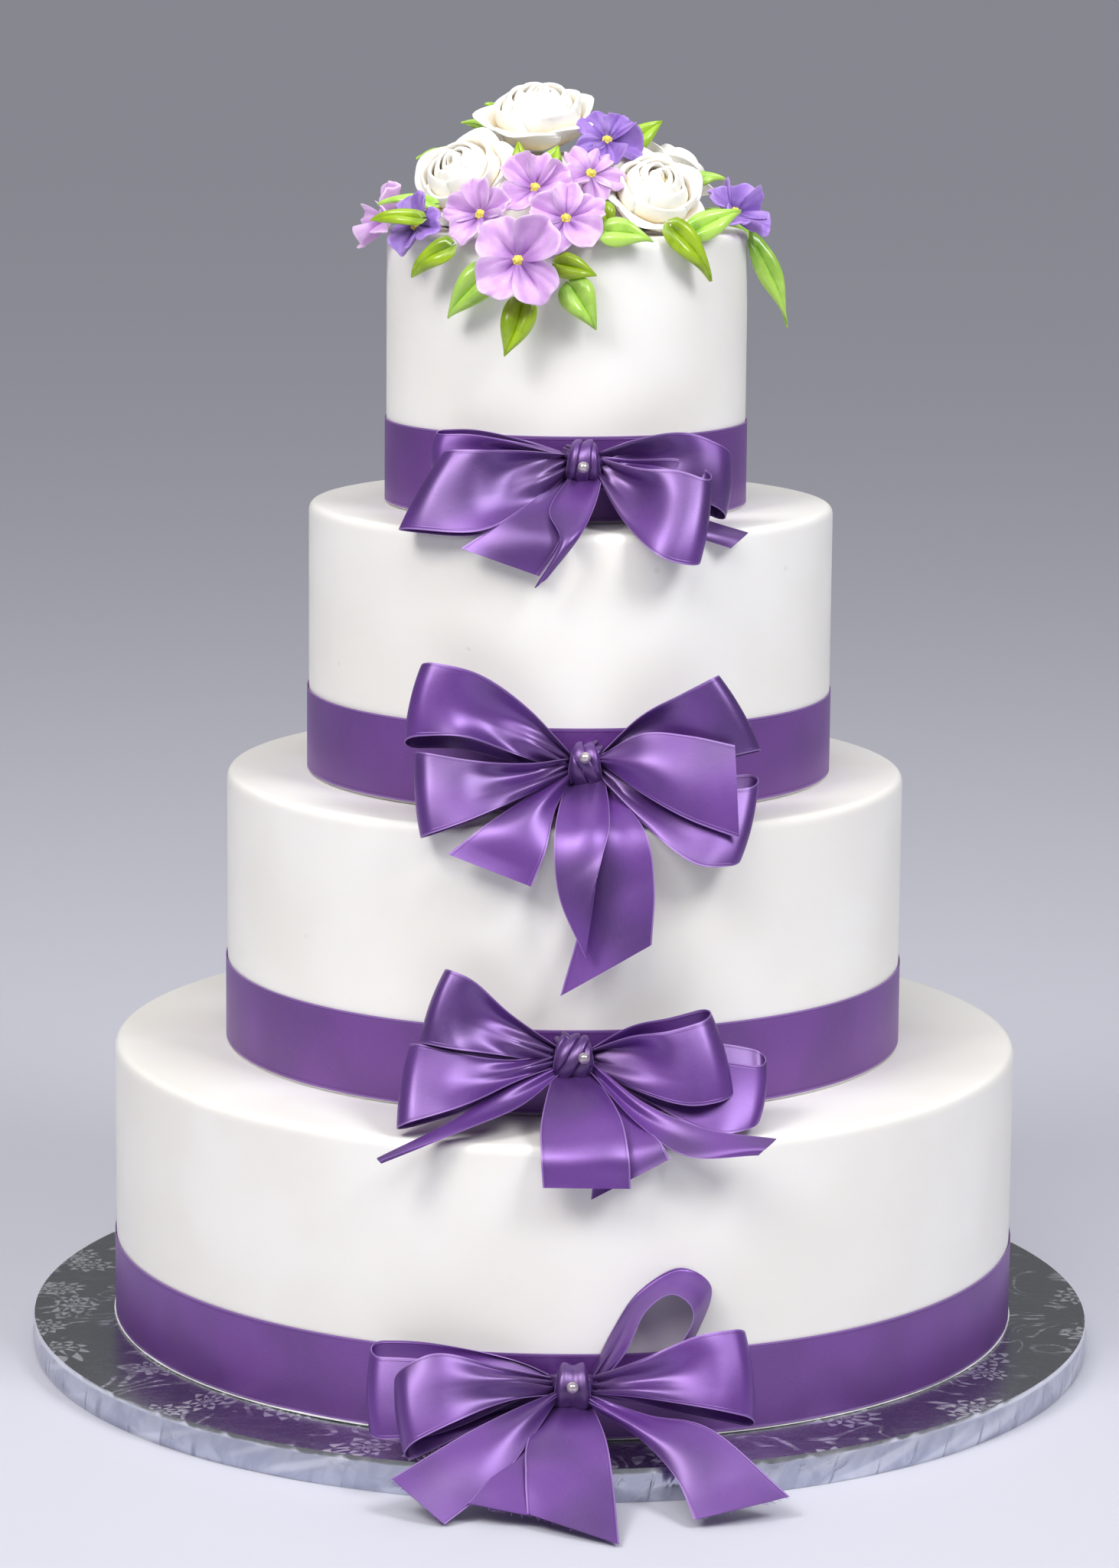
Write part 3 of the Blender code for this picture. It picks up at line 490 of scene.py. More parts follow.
def foil_finish():
    """Silver foil embossed with open blossoms and curling fronds, frosted where it is pressed."""
    finish = Finish("embossed silver foil", Metallic=1.0)
    place = finish.place()
    drift = finish.node("ShaderNodeVectorMath", {"operation": "MULTIPLY_ADD"}, {
        0: finish.noise(place, 22.0, detail=1.0, out="Color"), 1: (0.030, 0.030, 0.0), 2: place})
    x, y, _ = finish.split(drift)
    blossoms = 0.0
    for shift, size, petals in (((0.012, 0.004), 0.062, 11), ((0.041, 0.037), 0.071, 9)):
        cell_x = (x / size + shift[0] / size).fraction() - 0.5
        cell_y = (y / size + shift[1] / size).fraction() - 0.5
        reach = ((cell_x * cell_x + cell_y * cell_y) ** 0.5) * size
        angle = finish.node("ShaderNodeMath", {"operation": "ARCTAN2"}, {0: cell_y, 1: cell_x})
        ring = reach / (4.8 * MM)
        outward = ring.fraction()
        sideways = abs((angle * (petals / (2 * math.pi)) + (ring - outward) * 0.5).fraction() - 0.5)
        petal = 1 - (sideways * 2 + outward * 0.8).ramp(0.62, 0.86)
        blossoms = blossoms + petal * (1 - reach.ramp(13 * MM, 15 * MM))
    bend = finish.noise(place, 18, detail=1.0, twist=1.4)
    frond = (bend * 50).sine().ramp(0.35, 0.85) * finish.noise(place, 42, detail=1.0).ramp(0.46, 0.56)
    veins = finish.noise(finish.scaled(place, (90, 260, 90)), 1.0, detail=3.0, twist=1.2).ramp(0.50, 0.64)
    pressed = (blossoms * 0.9 + frond * (0.45 + 0.4 * veins) + veins * 0.22).ramp(0.0, 1.1)
    crinkle = finish.noise(place, 120, detail=4.0, roughness=0.6)
    finish.set(
        Base_Color=finish.blend(pressed, shade(188, 190, 194), shade(240, 241, 246)),
        Roughness=0.23 + 0.22 * pressed + 0.08 * crinkle,
        Normal=finish.bump(pressed, 0.35 * MM, 0.5, finish.bump(crinkle, 0.5 * MM, 0.2)),
    )
    return finish.material


def foil_edge_finish():
    """The foil pulled down over the board's edge, with fine wrinkles: painted highlights at its rim and
    in slanting streaks, and painted shade in its creases and folds.
    """
    finish = Finish("creased foil edge", Metallic=1.0)
    along, down, _ = finish.flat()
    skewed = finish.join(along + down * 0.006, down * 0.012)
    folds = finish.noise(finish.scaled(skewed, (60, 60, 1)), 1.0, detail=4.0, roughness=0.55, twist=1.2)
    fine = finish.noise(finish.scaled(skewed, (420, 160, 1)), 1.0, detail=2.0)
    stretched = finish.join(along * 26 + down * 1.2, down * 0.4)
    streak_highlight = finish.noise(stretched, 1.0, detail=1.0).ramp(0.52, 0.68)
    cracks = finish.cells(finish.join(along * 36 + down * 0.14, 0.3), 1.0, "DISTANCE_TO_EDGE")
    creases = 1 - cracks.ramp(0.008, 0.03)
    # Painted highlights: a bright band along the top rim and bright slanting streaks, blended in as lit.
    rim = 1 - down.ramp(0.06, 0.20)
    below = down.ramp(0.05, 0.65)
    bright = (rim + streak_highlight * 0.45).ramp(0.0, 1.0)
    # The foil's colour, darker and lighter with its folds, is painted shading of them.
    foil = finish.blend(folds.ramp(0.35, 0.65), shade(172, 175, 192), shade(196, 199, 213))
    lit = finish.blend(bright, foil, shade(240, 241, 248))
    finish.set(
        # Painted shade darkens the creases lower down the edge, more in some of the folds.
        Base_Color=finish.blend(creases * below * folds.ramp(0.42, 0.6) * 0.5, lit, shade(104, 106, 128)),
        Roughness=0.13 + 0.10 * folds.ramp(0.4, 0.7) + 0.05 * fine,
        Normal=finish.bump(fine * below, 0.14 * MM, 0.5, finish.bump(
            creases * below, -0.4 * MM, 0.5, finish.bump(folds * below, 1.8 * MM, 0.45))),
    )
    return finish.material


def pearl_finish():
    finish = Finish("pearl", Coat_Weight=0.6, Coat_Roughness=0.06, Sheen_Weight=0.2,
                    Sheen_Tint=(*shade(238, 214, 232), 1))
    cloud = finish.noise(finish.place(), 300, detail=1.0)
    finish.set(
        Base_Color=finish.blend(cloud.ramp(0.35, 0.65), shade(172, 162, 170), shade(214, 204, 206)),
        Metallic=0.45 + 0.2 * cloud,
        Roughness=0.2 + 0.08 * cloud,
    )
    return finish.material


def petal_finish(name, rim, face, throat_shade, depth=0.55):
    """Piped buttercream petals: paler at the rim and sides as painted highlight, darker in the throat as
    painted shade, streaked from root to rim.
    """
    finish = Finish(name, Subsurface_Weight=0.3, Subsurface_Radius=(0.006, 0.005, 0.005),
                    Subsurface_Scale=0.5, Specular_IOR_Level=0.45)
    along, across, _ = finish.flat()
    place = finish.place()
    streaks = finish.noise(finish.join(along * 2.5, across * 22), 1.0, detail=3.0, twist=0.3)
    mottled = finish.noise(place, 160, detail=3.0)
    # Painted highlight along each petal's rim and sides.
    edge = along.ramp(0.88, 0.99)
    sides = abs(across - 0.5).ramp(0.42, 0.495) * along.ramp(0.3, 0.7)
    rim_highlight = (edge + sides).ramp(0.0, 1.2)
    # Painted shade in the throat, from the root out to the depth given, streaked.
    deep = (1 - along.ramp(0.05, depth)) * (0.5 + 0.8 * streaks)
    body = finish.blend(deep, finish.blend(mottled.ramp(0.3, 0.7) * 0.35, face, rim), throat_shade)
    finish.set(
        Base_Color=finish.blend(rim_highlight * 0.5, body, rim),
        Roughness=0.34 + 0.16 * mottled,
        Normal=finish.bump(streaks, 0.4 * MM, 0.4, finish.bump(mottled, 0.3 * MM, 0.3)),
    )
    return finish.material


def leaf_finish(name, bright, deep):
    """Piped leaves: darker green down the furrow of the vein and at the root as painted shade, deeper in
    random patches, and slightly wet.
    """
    finish = Finish(name, Subsurface_Weight=0.1, Subsurface_Radius=(0.004, 0.006, 0.002),
                    Subsurface_Scale=0.4, Coat_Weight=0.35, Coat_Roughness=0.12)
    along, across, _ = finish.flat()
    place = finish.place()
    vein_shade = 1 - abs(across - 0.5).ramp(0.0, 0.08)
    patches = finish.noise(place, 90, detail=3.0)
    streaks = finish.noise(finish.join(along * 3, across * 16), 1.0, detail=2.0)
    root = 1 - along.ramp(0.0, 0.3)
    # Painted shade down the vein's furrow and at the root; the patches are the green's own tone.
    depth = (vein_shade * 0.22 + patches.ramp(0.42, 0.66) * 0.6 + root * 0.5).ramp(0.0, 1.2)
    finish.set(
        Base_Color=finish.blend(depth, bright, deep),
        Roughness=0.24 + 0.14 * streaks,
        Normal=finish.bump(streaks, 0.2 * MM, 0.3, finish.bump(patches, 0.5 * MM, 0.25)),
    )
    return finish.material


def centre_finish():
    finish = Finish("yellow flower centre", Subsurface_Weight=0.15,
                    Subsurface_Radius=(0.003, 0.002, 0.001), Subsurface_Scale=0.5)
    grain = finish.noise(finish.place(), 700, detail=3.0)
    finish.set(
        Base_Color=finish.blend(grain.ramp(0.35, 0.65), shade(216, 196, 66), shade(238, 224, 110)),
        Roughness=0.45 + 0.15 * grain,
        Normal=finish.bump(grain, 0.3 * MM, 0.5),
    )
    return finish.material


def underside_finish():
    finish = Finish("board paper underside", Roughness=0.8)
    fibre = finish.noise(finish.place(), 260, detail=4.0, roughness=0.7)
    finish.set(Base_Color=finish.blend(fibre.ramp(0.3, 0.7), shade(206, 200, 190), shade(226, 221, 212)),
               Normal=finish.bump(fibre, 0.15 * MM, 0.4))
    return finish.material


def floor_finish():
    finish = Finish("pale floor", Base_Color=shade(206, 206, 217), Roughness=0.6, Specular_IOR_Level=0.3)
    return finish.material


def in_scene(name, data):
    """A new object in the scene."""
    item = bpy.data.objects.new(name, data)
    bpy.context.scene.collection.objects.link(item)
    return item


class Form:
    """Grids of points gathered into one mesh, each with its own flat map and finish."""

    def __init__(self):
        self.points = []
        self.faces = []
        self.flat = []
        self.finish = []
        self.count = 0

    def skin(self, points, flat, finish=0, across=False, around=False):
        """One surface. With across, its columns join up in a ring; with around, its rows do."""
        rows, columns = points.shape[:2]
        index = np.arange(rows * columns).reshape(rows, columns) + self.count
        if across:
            index = np.hstack([index, index[:, :1]])
            step = 2 * flat[:, -1:] - flat[:, -2:-1]
            flat = np.concatenate([flat, step], axis=1)
        if around:
            index = np.vstack([index, index[:1]])
            step = 2 * flat[-1:] - flat[-2:-1]
            flat = np.concatenate([flat, step], axis=0)
        corners = ((slice(None, -1), slice(None, -1)), (slice(1, None), slice(None, -1)),
                   (slice(1, None), slice(1, None)), (slice(None, -1), slice(1, None)))
        faces = np.stack([index[corner] for corner in corners], axis=-1).reshape(-1, 4)
        maps = np.stack([flat[corner] for corner in corners], axis=2).reshape(-1, 4, 2)
        self.points.append(points.reshape(-1, 3))
        self.faces.append(faces)
        self.flat.append(maps)
        self.finish.append(np.full(len(faces), finish))
        self.count += rows * columns

    def sheet(self, points, thick, flat, finish=0, around=False):
        """A sheet with two faces and closed rims, as thick at each point as asked."""
        normal = sheet_normals(points, around) * (np.zeros(points.shape[:2]) + thick)[..., None] / 2
        rim = np.concatenate([points - normal, (points + normal)[:, ::-1]], axis=1)
        if not around:
            caps = [np.concatenate([end, end[:, ::-1]], axis=1) for end in (points[:1], points[-1:])]
            rim = np.concatenate([caps[0], rim, caps[1]], axis=0)
            flat = np.concatenate([flat[:1], flat, flat[-1:]], axis=0)
        flat = np.concatenate([flat, flat[:, ::-1]], axis=1)
        self.skin(rim, flat, finish, across=True, around=around)

    def make(self, name, looks, nodes, smooth_angle=60):
        """Turn the grids into an object that stands for its CAD nodes."""
        mesh = bpy.data.meshes.new(name)
        mesh.from_pydata(np.concatenate(self.points).tolist(), [], np.concatenate(self.faces).tolist())
        layer = mesh.uv_layers.new(name="flat")
        layer.data.foreach_set("uv", np.concatenate(self.flat).reshape(-1).astype(np.float32))
        mesh.polygons.foreach_set("material_index", np.concatenate(self.finish).astype(np.int32))
        for look in looks:
            mesh.materials.append(look)
        mesh.shade_smooth()
        mesh.set_sharp_from_angle(angle=math.radians(smooth_angle))
        item = in_scene(name, mesh)
        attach(item, "root")
        if nodes:
            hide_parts(*nodes)


def sheet_normals(points, around=False):
    """The direction square to the sheet at each of its points."""
    if around:
        down = np.roll(points, -1, axis=0) - np.roll(points, 1, axis=0)
    else:
        down = np.gradient(points, axis=0)
    over = np.gradient(points, axis=1)
    normal = np.cross(down, over)
    size = np.linalg.norm(normal, axis=2, keepdims=True)
    return normal / np.maximum(size, 1e-12)


def flat_map(rows, columns, length=1.0):
    """Along from 0 to the length and across from 0 to 1."""
    along, across = np.meshgrid(np.linspace(0, length, rows), np.linspace(0, 1, columns), indexing="ij")
    return np.stack([along, across], axis=-1)


def petal_map(t, s):
    """The flat map of a petal or leaf: along from root to rim, and across from 0 to 1."""
    along, across = np.broadcast_arrays(t, (s + 1) / 2)
    return np.stack([along, across], axis=-1)


def sheet_length(points):
    """How long a sheet is down its middle."""
    middle = points[:, points.shape[1] // 2]
    return float(np.linalg.norm(np.diff(middle, axis=0), axis=1).sum())


def cosine(turns):
    """The cosine of a number of full turns."""
    return np.cos(2 * np.pi * turns)


def hump(where, middle, spread):
    """A smooth hump one high."""
    return np.exp(-((where - middle) / spread) ** 2)


def full_turn(steps):
    """Shares of a full turn, without the last, which is the first again."""
    return np.linspace(0, 1, steps, endpoint=False)


def about_axis(radius, angle, height):
    """Points at a radius and an angle about the upright axis, and at a height."""
    return np.stack([radius * np.cos(angle), radius * np.sin(angle), height + 0 * angle], axis=-1)


def waves(values, terms, seed):
    """A smooth random sum of waves along the values, repeating every 1, from about -1 to 1."""
    rng = np.random.default_rng(seed)
    total = np.zeros_like(values, dtype=float)
    for term in range(1, terms + 1):
        total += rng.normal() * cosine(term * values + rng.random()) / term ** 0.7
    return total / 2.2


def turned(profile, steps, seed, waver):
    """Points of a profile turned about the upright axis, wavering in and out by a distance."""
    profile = np.array(profile)
    turn = full_turn(steps)
    sway = waves(turn, 9, seed) * waver
    drift = waves(turn, 5, seed + 1) * waver
    radius = profile[:, :1] + sway[None, :] * np.minimum(profile[:, :1] / 0.05, 1)
    height = profile[:, 1:] + drift[None, :] * 0.3 * (profile[:, :1] > 0)
    return about_axis(radius, 2 * np.pi * turn[None, :], height)


def rounded(points, corner, size, steps=9):
    """Replace one corner of a profile by an arc."""
    before, middle, after = (np.array(points[corner + k], float) for k in (-1, 0, 1))
    start = middle + (before - middle) / np.linalg.norm(before - middle) * size
    end = middle + (after - middle) / np.linalg.norm(after - middle) * size
    where = np.linspace(0, 1, steps)[:, None]
    arc = (1 - where) ** 2 * start + 2 * where * (1 - where) * middle + where ** 2 * end
    return [*points[:corner], *[tuple(point) for point in arc], *points[corner + 1:]]


def tier_shape(number):
    """Centre across, radius, foot and top of a tier, as the CAD model has it."""
    low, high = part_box(f"tier_{number}")
    return (low.x + high.x) / 2, (high.x - low.x) / 2, low.z, high.z


def build_tiers(look):
    """Each tier: an uneven top and side of icing, rounded where they meet."""
    for number in TIERS:
        across, radius, foot, top = tier_shape(number)
        side = [(radius, foot + (top - 5 * MM - foot) * (1 - k / 14)) for k in range(15)]
        edge = rounded([(radius - 12 * MM, top), (radius, top), (radius, top - 9 * MM)], 1, TIER_EDGE)
        flat = [((radius - 12 * MM) * k / 10, top) for k in range(11)]
        profile = [*flat, *edge[1:-1], *side, (radius - 1.5 * MM, foot), (0.02, foot), (0, foot)]
        points = turned(profile, TIER_STEPS, 10 + number, TIER_UNEVEN)
        points[..., 0] += across
        points[..., 2] = np.clip(points[..., 2], foot, top)
        form = Form()
        form.skin(points, flat_map(len(profile), TIER_STEPS), across=True)
        form.make(f"iced_tier_{number}", [look], [f"tier_{number}"], 80)


def build_bands(look):
    """Each ribbon round a tier's foot, with its top edge slightly uneven."""
    for number in TIERS:
        low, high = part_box(f"band_{number}")
        across = (low.x + high.x) / 2
        outer = (high.x - low.x) / 2
        turn = full_turn(BAND_STEPS)[None]
        rise = np.linspace(high.z, low.z, BAND_ROWS)[:, None]
        slack = np.abs(waves(turn, 14, 30 + number)) * 0.05 * MM
        radius = outer - SATIN_THICK / 2 - 0.05 * MM + 0 * rise - slack
        lift = waves(turn, 7, 40 + number) * 0.35 * MM * (rise - low.z) / RIBBON_WIDTH
        points = about_axis(radius, 2 * np.pi * turn, rise + lift)
        points[..., 0] += across
        form = Form()
        flat = flat_map(BAND_STEPS, BAND_ROWS, 2 * math.pi * outer)
        form.sheet(np.swapaxes(points, 0, 1), SATIN_THICK, flat, around=True)
        form.make(f"satin_band_{number}", [look], [f"band_{number}"])


def build_board(top_look, edge_look, underside_look):
    """The drum board: its flat top, its edge of creased foil and its paper underside."""
    low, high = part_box("board")
    radius = (high.x - low.x) / 2
    thick = high.z
    turn = full_turn(BOARD_STEPS)
    rng = np.random.default_rng(5)
    crease = np.zeros(BOARD_STEPS)
    slant = np.zeros(BOARD_STEPS)
    for place in np.arange(BOARD_CREASES) / BOARD_CREASES + rng.uniform(-0.006, 0.006, BOARD_CREASES):
        for line, lean in ((crease, 0), (slant, rng.uniform(-0.003, 0.003))):
            gap = (turn - place - lean + 0.5) % 1 - 0.5
            line += np.exp(-np.abs(gap) / 0.0010) - 0.5 * np.exp(-np.abs(gap - 0.002) / 0.0016)
    form = Form()
    flat = [((radius - 3 * MM) * k / 8, thick) for k in range(9)]
    top = turned([*flat, (radius - 1.6 * MM, thick - 0.1 * MM)], BOARD_STEPS, 3, 0)
    form.skin(top, flat_map(len(top), BOARD_STEPS), 0, across=True)
    down = np.linspace(0, 1, BOARD_EDGE_ROWS)[:, None]
    shape = radius - 1.5 * MM + 1.2 * MM * down ** 0.5 - 1.2 * MM * down ** 6
    folds = np.sin(np.pi * (0.12 + 0.88 * down)) * (crease * (1 - down) + slant * down)
    edge = shape - CREASE_DEPTH * folds - 0.35 * MM * np.abs(waves(turn, 40, 8)) * down
    dip = 0.15 * MM * crease * (1 - down) * (down > 0)
    side = about_axis(edge, 2 * np.pi * turn[None], thick - 0.1 * MM - (thick - 0.2 * MM) * down - dip)
    side[0] = top[-1]
    side[..., 2] = np.clip(side[..., 2], 0.05 * MM, thick)
    flat_side = np.stack(np.broadcast_arrays(2 * np.pi * radius * turn, down), axis=-1)
    form.skin(side, flat_side, 1, across=True)
    under = np.stack([side[-1]] + [side[-1] * [share, share, 0] for share in (0.985, 0.98, 0.5, 0.0001)])
    form.skin(under, flat_map(len(under), BOARD_STEPS), 2, across=True)
    form.make("foil_board", [top_look, edge_look, underside_look], ["board"], 35)


def build_bead(look):
    """The thin uneven line of icing that shows between the lowest band and the board."""
    across, radius, foot, _ = tier_shape(1)
    turn = full_turn(BEAD_STEPS)
    swell = 0.9 + 0.55 * waves(turn, 60, 71) + 0.5 * waves(turn, 9, 72)
    size = BEAD_SIZE * np.clip(swell, 0.12, 1.6)
    section = 2 * np.pi * full_turn(10)[:, None]
    reach = radius + 0.9 * MM + size * np.cos(section)
    height = foot + 0.1 * MM + size * 0.7 + size * 0.7 * np.sin(section)
    points = about_axis(reach, 2 * np.pi * turn[None], height)
    points[..., 0] += across
    form = Form()
    flat = flat_map(BEAD_STEPS, len(section))
    form.skin(np.swapaxes(points, 0, 1), flat, across=True, around=True)
    form.make("icing_bead", [look], [], 180)


def curve(points, where):
    """Points at places from 0 to 1 on a smooth curve through all the points."""
    points = np.array(points, float)
    line = np.vstack([2 * points[0] - points[1], points, 2 * points[-1] - points[-2]])
    spans = len(points) - 1
    index = np.minimum((where * spans).astype(int), spans - 1)
    part = (where * spans - index)[:, None]
    before, here, after, beyond = (line[index + k] for k in range(4))
    slope_in = (after - before) / 2
    slope_out = (beyond - here) / 2
    return (here * (2 * part ** 3 - 3 * part ** 2 + 1) + slope_in * (part ** 3 - 2 * part ** 2 + part)
            + after * (3 * part ** 2 - 2 * part ** 3) + slope_out * (part ** 3 - part ** 2))


def between(first, second, share):
    """Rows of points from one edge of a strip to the other."""
    return first[:, None] * (1 - share[..., None]) + second[:, None] * share[..., None]


def loop_sheet(fat, opening, dish, dish_at, upper, lower, seed):
    """A loop of satin in millimetres: out from its knot in front, round its end and home behind."""
    rng = np.random.default_rng(seed)
    side = math.copysign(1, upper[-1][0])
    across, up = LOOP_START
    upper = [(across * side, up, 0), *upper]
    lower = [(across * side, -up, 0), *lower]
    length = (math.hypot(*upper[-1]) + math.hypot(*lower[-1])) / 2
    end = fat / 2
    share = end / length
    leg = np.linspace(0, 1, LEG_ROWS, endpoint=False)
    rise = end * (1 - (1 - leg) ** 2.2) * (1 + LOOP_PLUMP * np.sin(np.pi * leg))
    bend = np.linspace(math.pi / 2, -math.pi / 2, END_ROWS)
    along = np.concatenate([(1 - share) * leg, 1 - share + share * np.cos(bend), (1 - share) * leg[::-1]])
    leaf = np.concatenate([rise, end * np.sin(bend), -rise[::-1]])[:, None]
    outward = np.array([0, opening, 1]) / math.hypot(opening, 1)
    sideways = np.array(upper[-1], float) + np.array(lower[-1], float)
    sideways /= np.linalg.norm(sideways)
    v = np.linspace(0, 1, SATIN_COLUMNS)[None, :]
    points = between(curve(upper, along), curve(lower, along), v)
    along = along[:, None]
    bow = 4 * v * (1 - v)
    turn = rng.uniform(-0.3, 0.3)
    gathers = PLEAT_DEPTH * np.exp(-along / 0.17) * np.minimum(along / 0.05, 1)
    gathers = gathers * pleated(LOOP_PLEATS * v + turn)
    folds = FOLD_DEPTH * hump(along, 0.32, 0.24) * cosine(1.35 * v + turn + 0.25 * along)
    hollow = -dish * bow ** 1.2 * hump(along, dish_at, 0.24)
    ripple = 0.5 * np.sin(np.pi * along) * cosine(0.8 * v + rng.random() + 0.7 * along)
    in_front = 0.85 + 0.15 * np.sign(leaf)
    shift = leaf * (1 + LOOP_BELLY * bow) + gathers + (folds + hollow) * in_front + ripple
    return points + shift[..., None] * outward + (END_SWELL * bow * along ** 4)[..., None] * sideways


def tail_sheet(dish, left, right, seed):
    """A tail of satin in millimetres, from inside its knot to its cut end."""
    rng = np.random.default_rng(seed)
    left = [tuple(value * KNOT_HOLD for value in left[0]), *left]
    right = [tuple(value * KNOT_HOLD for value in right[0]), *right]
    along = np.linspace(0, 1, TAIL_ROWS)
    v = np.linspace(0, 1, SATIN_COLUMNS)[None, :]
    points = between(curve(left, along), curve(right, along), v)
    along = along[:, None]
    bow = 4 * v * (1 - v)
    turn = rng.uniform(-0.6, 0.6)
    gathers = TAIL_SHARE * PLEAT_DEPTH * hump(along, 0.14, 0.14) * pleated(TAIL_PLEATS * v + turn)
    folds = TAIL_SHARE * FOLD_DEPTH * hump(along, 0.38, 0.26) * cosine(1.1 * v + turn + 0.2 * along)
    ripple = 0.7 * along * cosine(0.6 * v + rng.random() + 0.9 * along)
    hollow = dish * bow * np.sin(np.pi * np.minimum(along * 1.1, 1))
    points[..., 2] += TAIL_BELLY * bow * along - hollow + gathers + folds + ripple
    return points


def pleated(turns):
    """A run of pleats, one each turn, with rounded backs and sharper creases."""
    return 2 * np.abs(np.cos(np.pi * turns)) ** 0.9 - 1.2


def lapped(turns):
    """A run of flat folds, one each turn, each laid over the foot of the next."""
    part = turns % 1
    drop = np.clip((part - 0.86) / 0.14, 0, 1)
    return np.sin(np.pi / 2 * np.minimum(part / 0.75, 1)) * (1 - drop ** 2) - 0.6


def wrap_sheet(half_width, half_height, half_depth, slant, pleats, rolled, grid=KNOT_GRID):
    """Satin wound round the knot in slanting folds, as a barrel about the sideways axis."""
    angle = 2 * np.pi * full_turn(grid[0])[:, None]
    x = np.linspace(-1, 1, grid[1])[None, :]
    folds = lapped(pleats / 2 * (x + slant * np.cos(angle) + 0.10 * np.sin(2 * angle)) + 0.5)
    rolls = -np.cos(np.pi * x / 0.76) * 0.6
    relief = rolled * rolls + (1 - rolled) * folds
    swell = 1 - 0.12 * np.abs(x) ** 3 - 0.20 * x ** 8 + KNOT_RELIEF * relief * (1 - x ** 6)
    uneven = x + 0.06 * np.sin(angle + 0.6) * (1 - x ** 2)
    wide = half_width * (1 - KNOT_FLARE * np.cos(angle)) * uneven
    up, out = half_height * swell * np.cos(angle), half_depth * swell * np.sin(angle)
    return np.stack([wide, up, out], axis=-1)


def clear_of_cake(points, out, clearance):
    """The points moved along out until all clear the cake, with the moves eased into each other."""
    step, most, easing = 0.25 * MM, 400, 30
    shapes = [(0, BOARD_RADIUS, 0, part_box("board")[1].z)]
    for number in TIERS:
        across, radius, foot, top = tier_shape(number)
        low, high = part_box(f"band_{number}")
        shapes.append((across, radius, foot, top))
        shapes.append((across, (high.x - low.x) / 2, foot, high.z))
    out = np.array(out)

    def buried(spots):
        inside = spots[..., 2] < clearance
        for across, radius, foot, top in shapes:
            near = np.hypot(spots[..., 0] - across, spots[..., 1]) < radius + clearance
            inside |= near & (spots[..., 2] > foot - clearance) & (spots[..., 2] < top + clearance)
        return inside

    moves = np.zeros(points.shape[:2])
    for _ in range(most):
        hit = buried(points + out * moves[..., None])
        if not hit.any():
            break
        moves[hit] += step
    needed = moves.copy()
    for _ in range(easing):
        for axis in (0, 1):
            wide = np.pad(moves, [(1, 1) if axis == k else (0, 0) for k in (0, 1)], "edge")
            size = moves.shape[axis]
            parts = [np.take(wide, range(k, k + size), axis=axis) for k in (0, 1, 2)]
            moves = (parts[0] + 2 * parts[1] + parts[2]) / 4
        moves = np.maximum(moves, needed - 0.35 * MM)
    return points + out * moves[..., None]


def in_room(points, place):
    """Points in millimetres in a frame, in the room."""
    turn = np.array(place.to_3x3())
    return points * MM @ turn.T + np.array(place.translation)


def ball(radius, rows, columns):
    """Points of a ball, in rows from its top to its foot."""
    rise = np.linspace(0.001, math.pi - 0.001, rows)[:, None]
    return about_axis(np.sin(rise), 2 * np.pi * full_turn(columns)[None], np.cos(rise)) * radius


def build_bow(number, look, pearl_look):
    """A bow: its loops and tails, the satin wrapped round its knot, and the pearl of its pin."""
    across, above, lean, (pearl_right, pearl_up) = BOWS[number - 1]
    low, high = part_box(f"band_{number}")
    foot = tier_shape(number)[2]
    front = (high.x - low.x) / 2 + KNOT_CENTRE_OUT
    facing = Matrix.Rotation(math.radians(90 - lean), 4, "X")
    place = Matrix.Translation((across, -front, foot + above)) @ facing
    out = place.to_3x3() @ Vector((0, 0, 1))
    form = Form()
    seed = 100 * number
    strips = [loop_sheet(*loop, seed + index) for index, loop in enumerate(LOOPS[number - 1])]
    strips += [tail_sheet(*tail, seed + 50 + index) for index, tail in enumerate(TAILS[number - 1])]
    for strip in strips:
        points = clear_of_cake(in_room(strip, place), out, CAKE_CLEARANCE)
        form.sheet(points, SATIN_THICK, flat_map(*points.shape[:2], sheet_length(points)))
    if number == 1:
        for index, tail in enumerate(TAILS[0]):
            ends = clear_of_cake(in_room(tail_sheet(*tail, 150 + index), place), out, CAKE_CLEARANCE)
            add_frays(form, ends, 900 + index)
    wide, high, deep, slant, pleats, rolled, cross = KNOTS[number - 1]
    knot = in_room(wrap_sheet(wide, high, deep, slant, pleats, rolled), place)
    form.sheet(knot, SATIN_THICK, flat_map(*KNOT_GRID, -60 * MM) + (34 * MM, 0), around=True)
    strand = wrap_sheet(wide * 0.55, high * 1.06, deep * 0.90, -slant, 1.4, 0.3, STRAND_GRID)
    tilt = np.array(Matrix.Rotation(math.radians(cross), 3, "Z"))
    strand = in_room(strand @ tilt.T + np.array([0, high * 0.14, -1.2]), place)
    form.sheet(strand, SATIN_THICK, flat_map(*STRAND_GRID, 50 * MM), around=True)
    form.make(f"satin_bow_{number}", [look], [f"bow_{number}"], 50)

    pearl = Form()
    points = ball(PEARL_RADIUS, 24, 32) + np.array([pearl_right, pearl_up, PEARL_OUT])
    pearl.skin(in_room(points, place), flat_map(24, 32), across=True)
    pearl.make(f"pearl_pin_{number}", [pearl_look], [f"pearl_{number}"], 180)


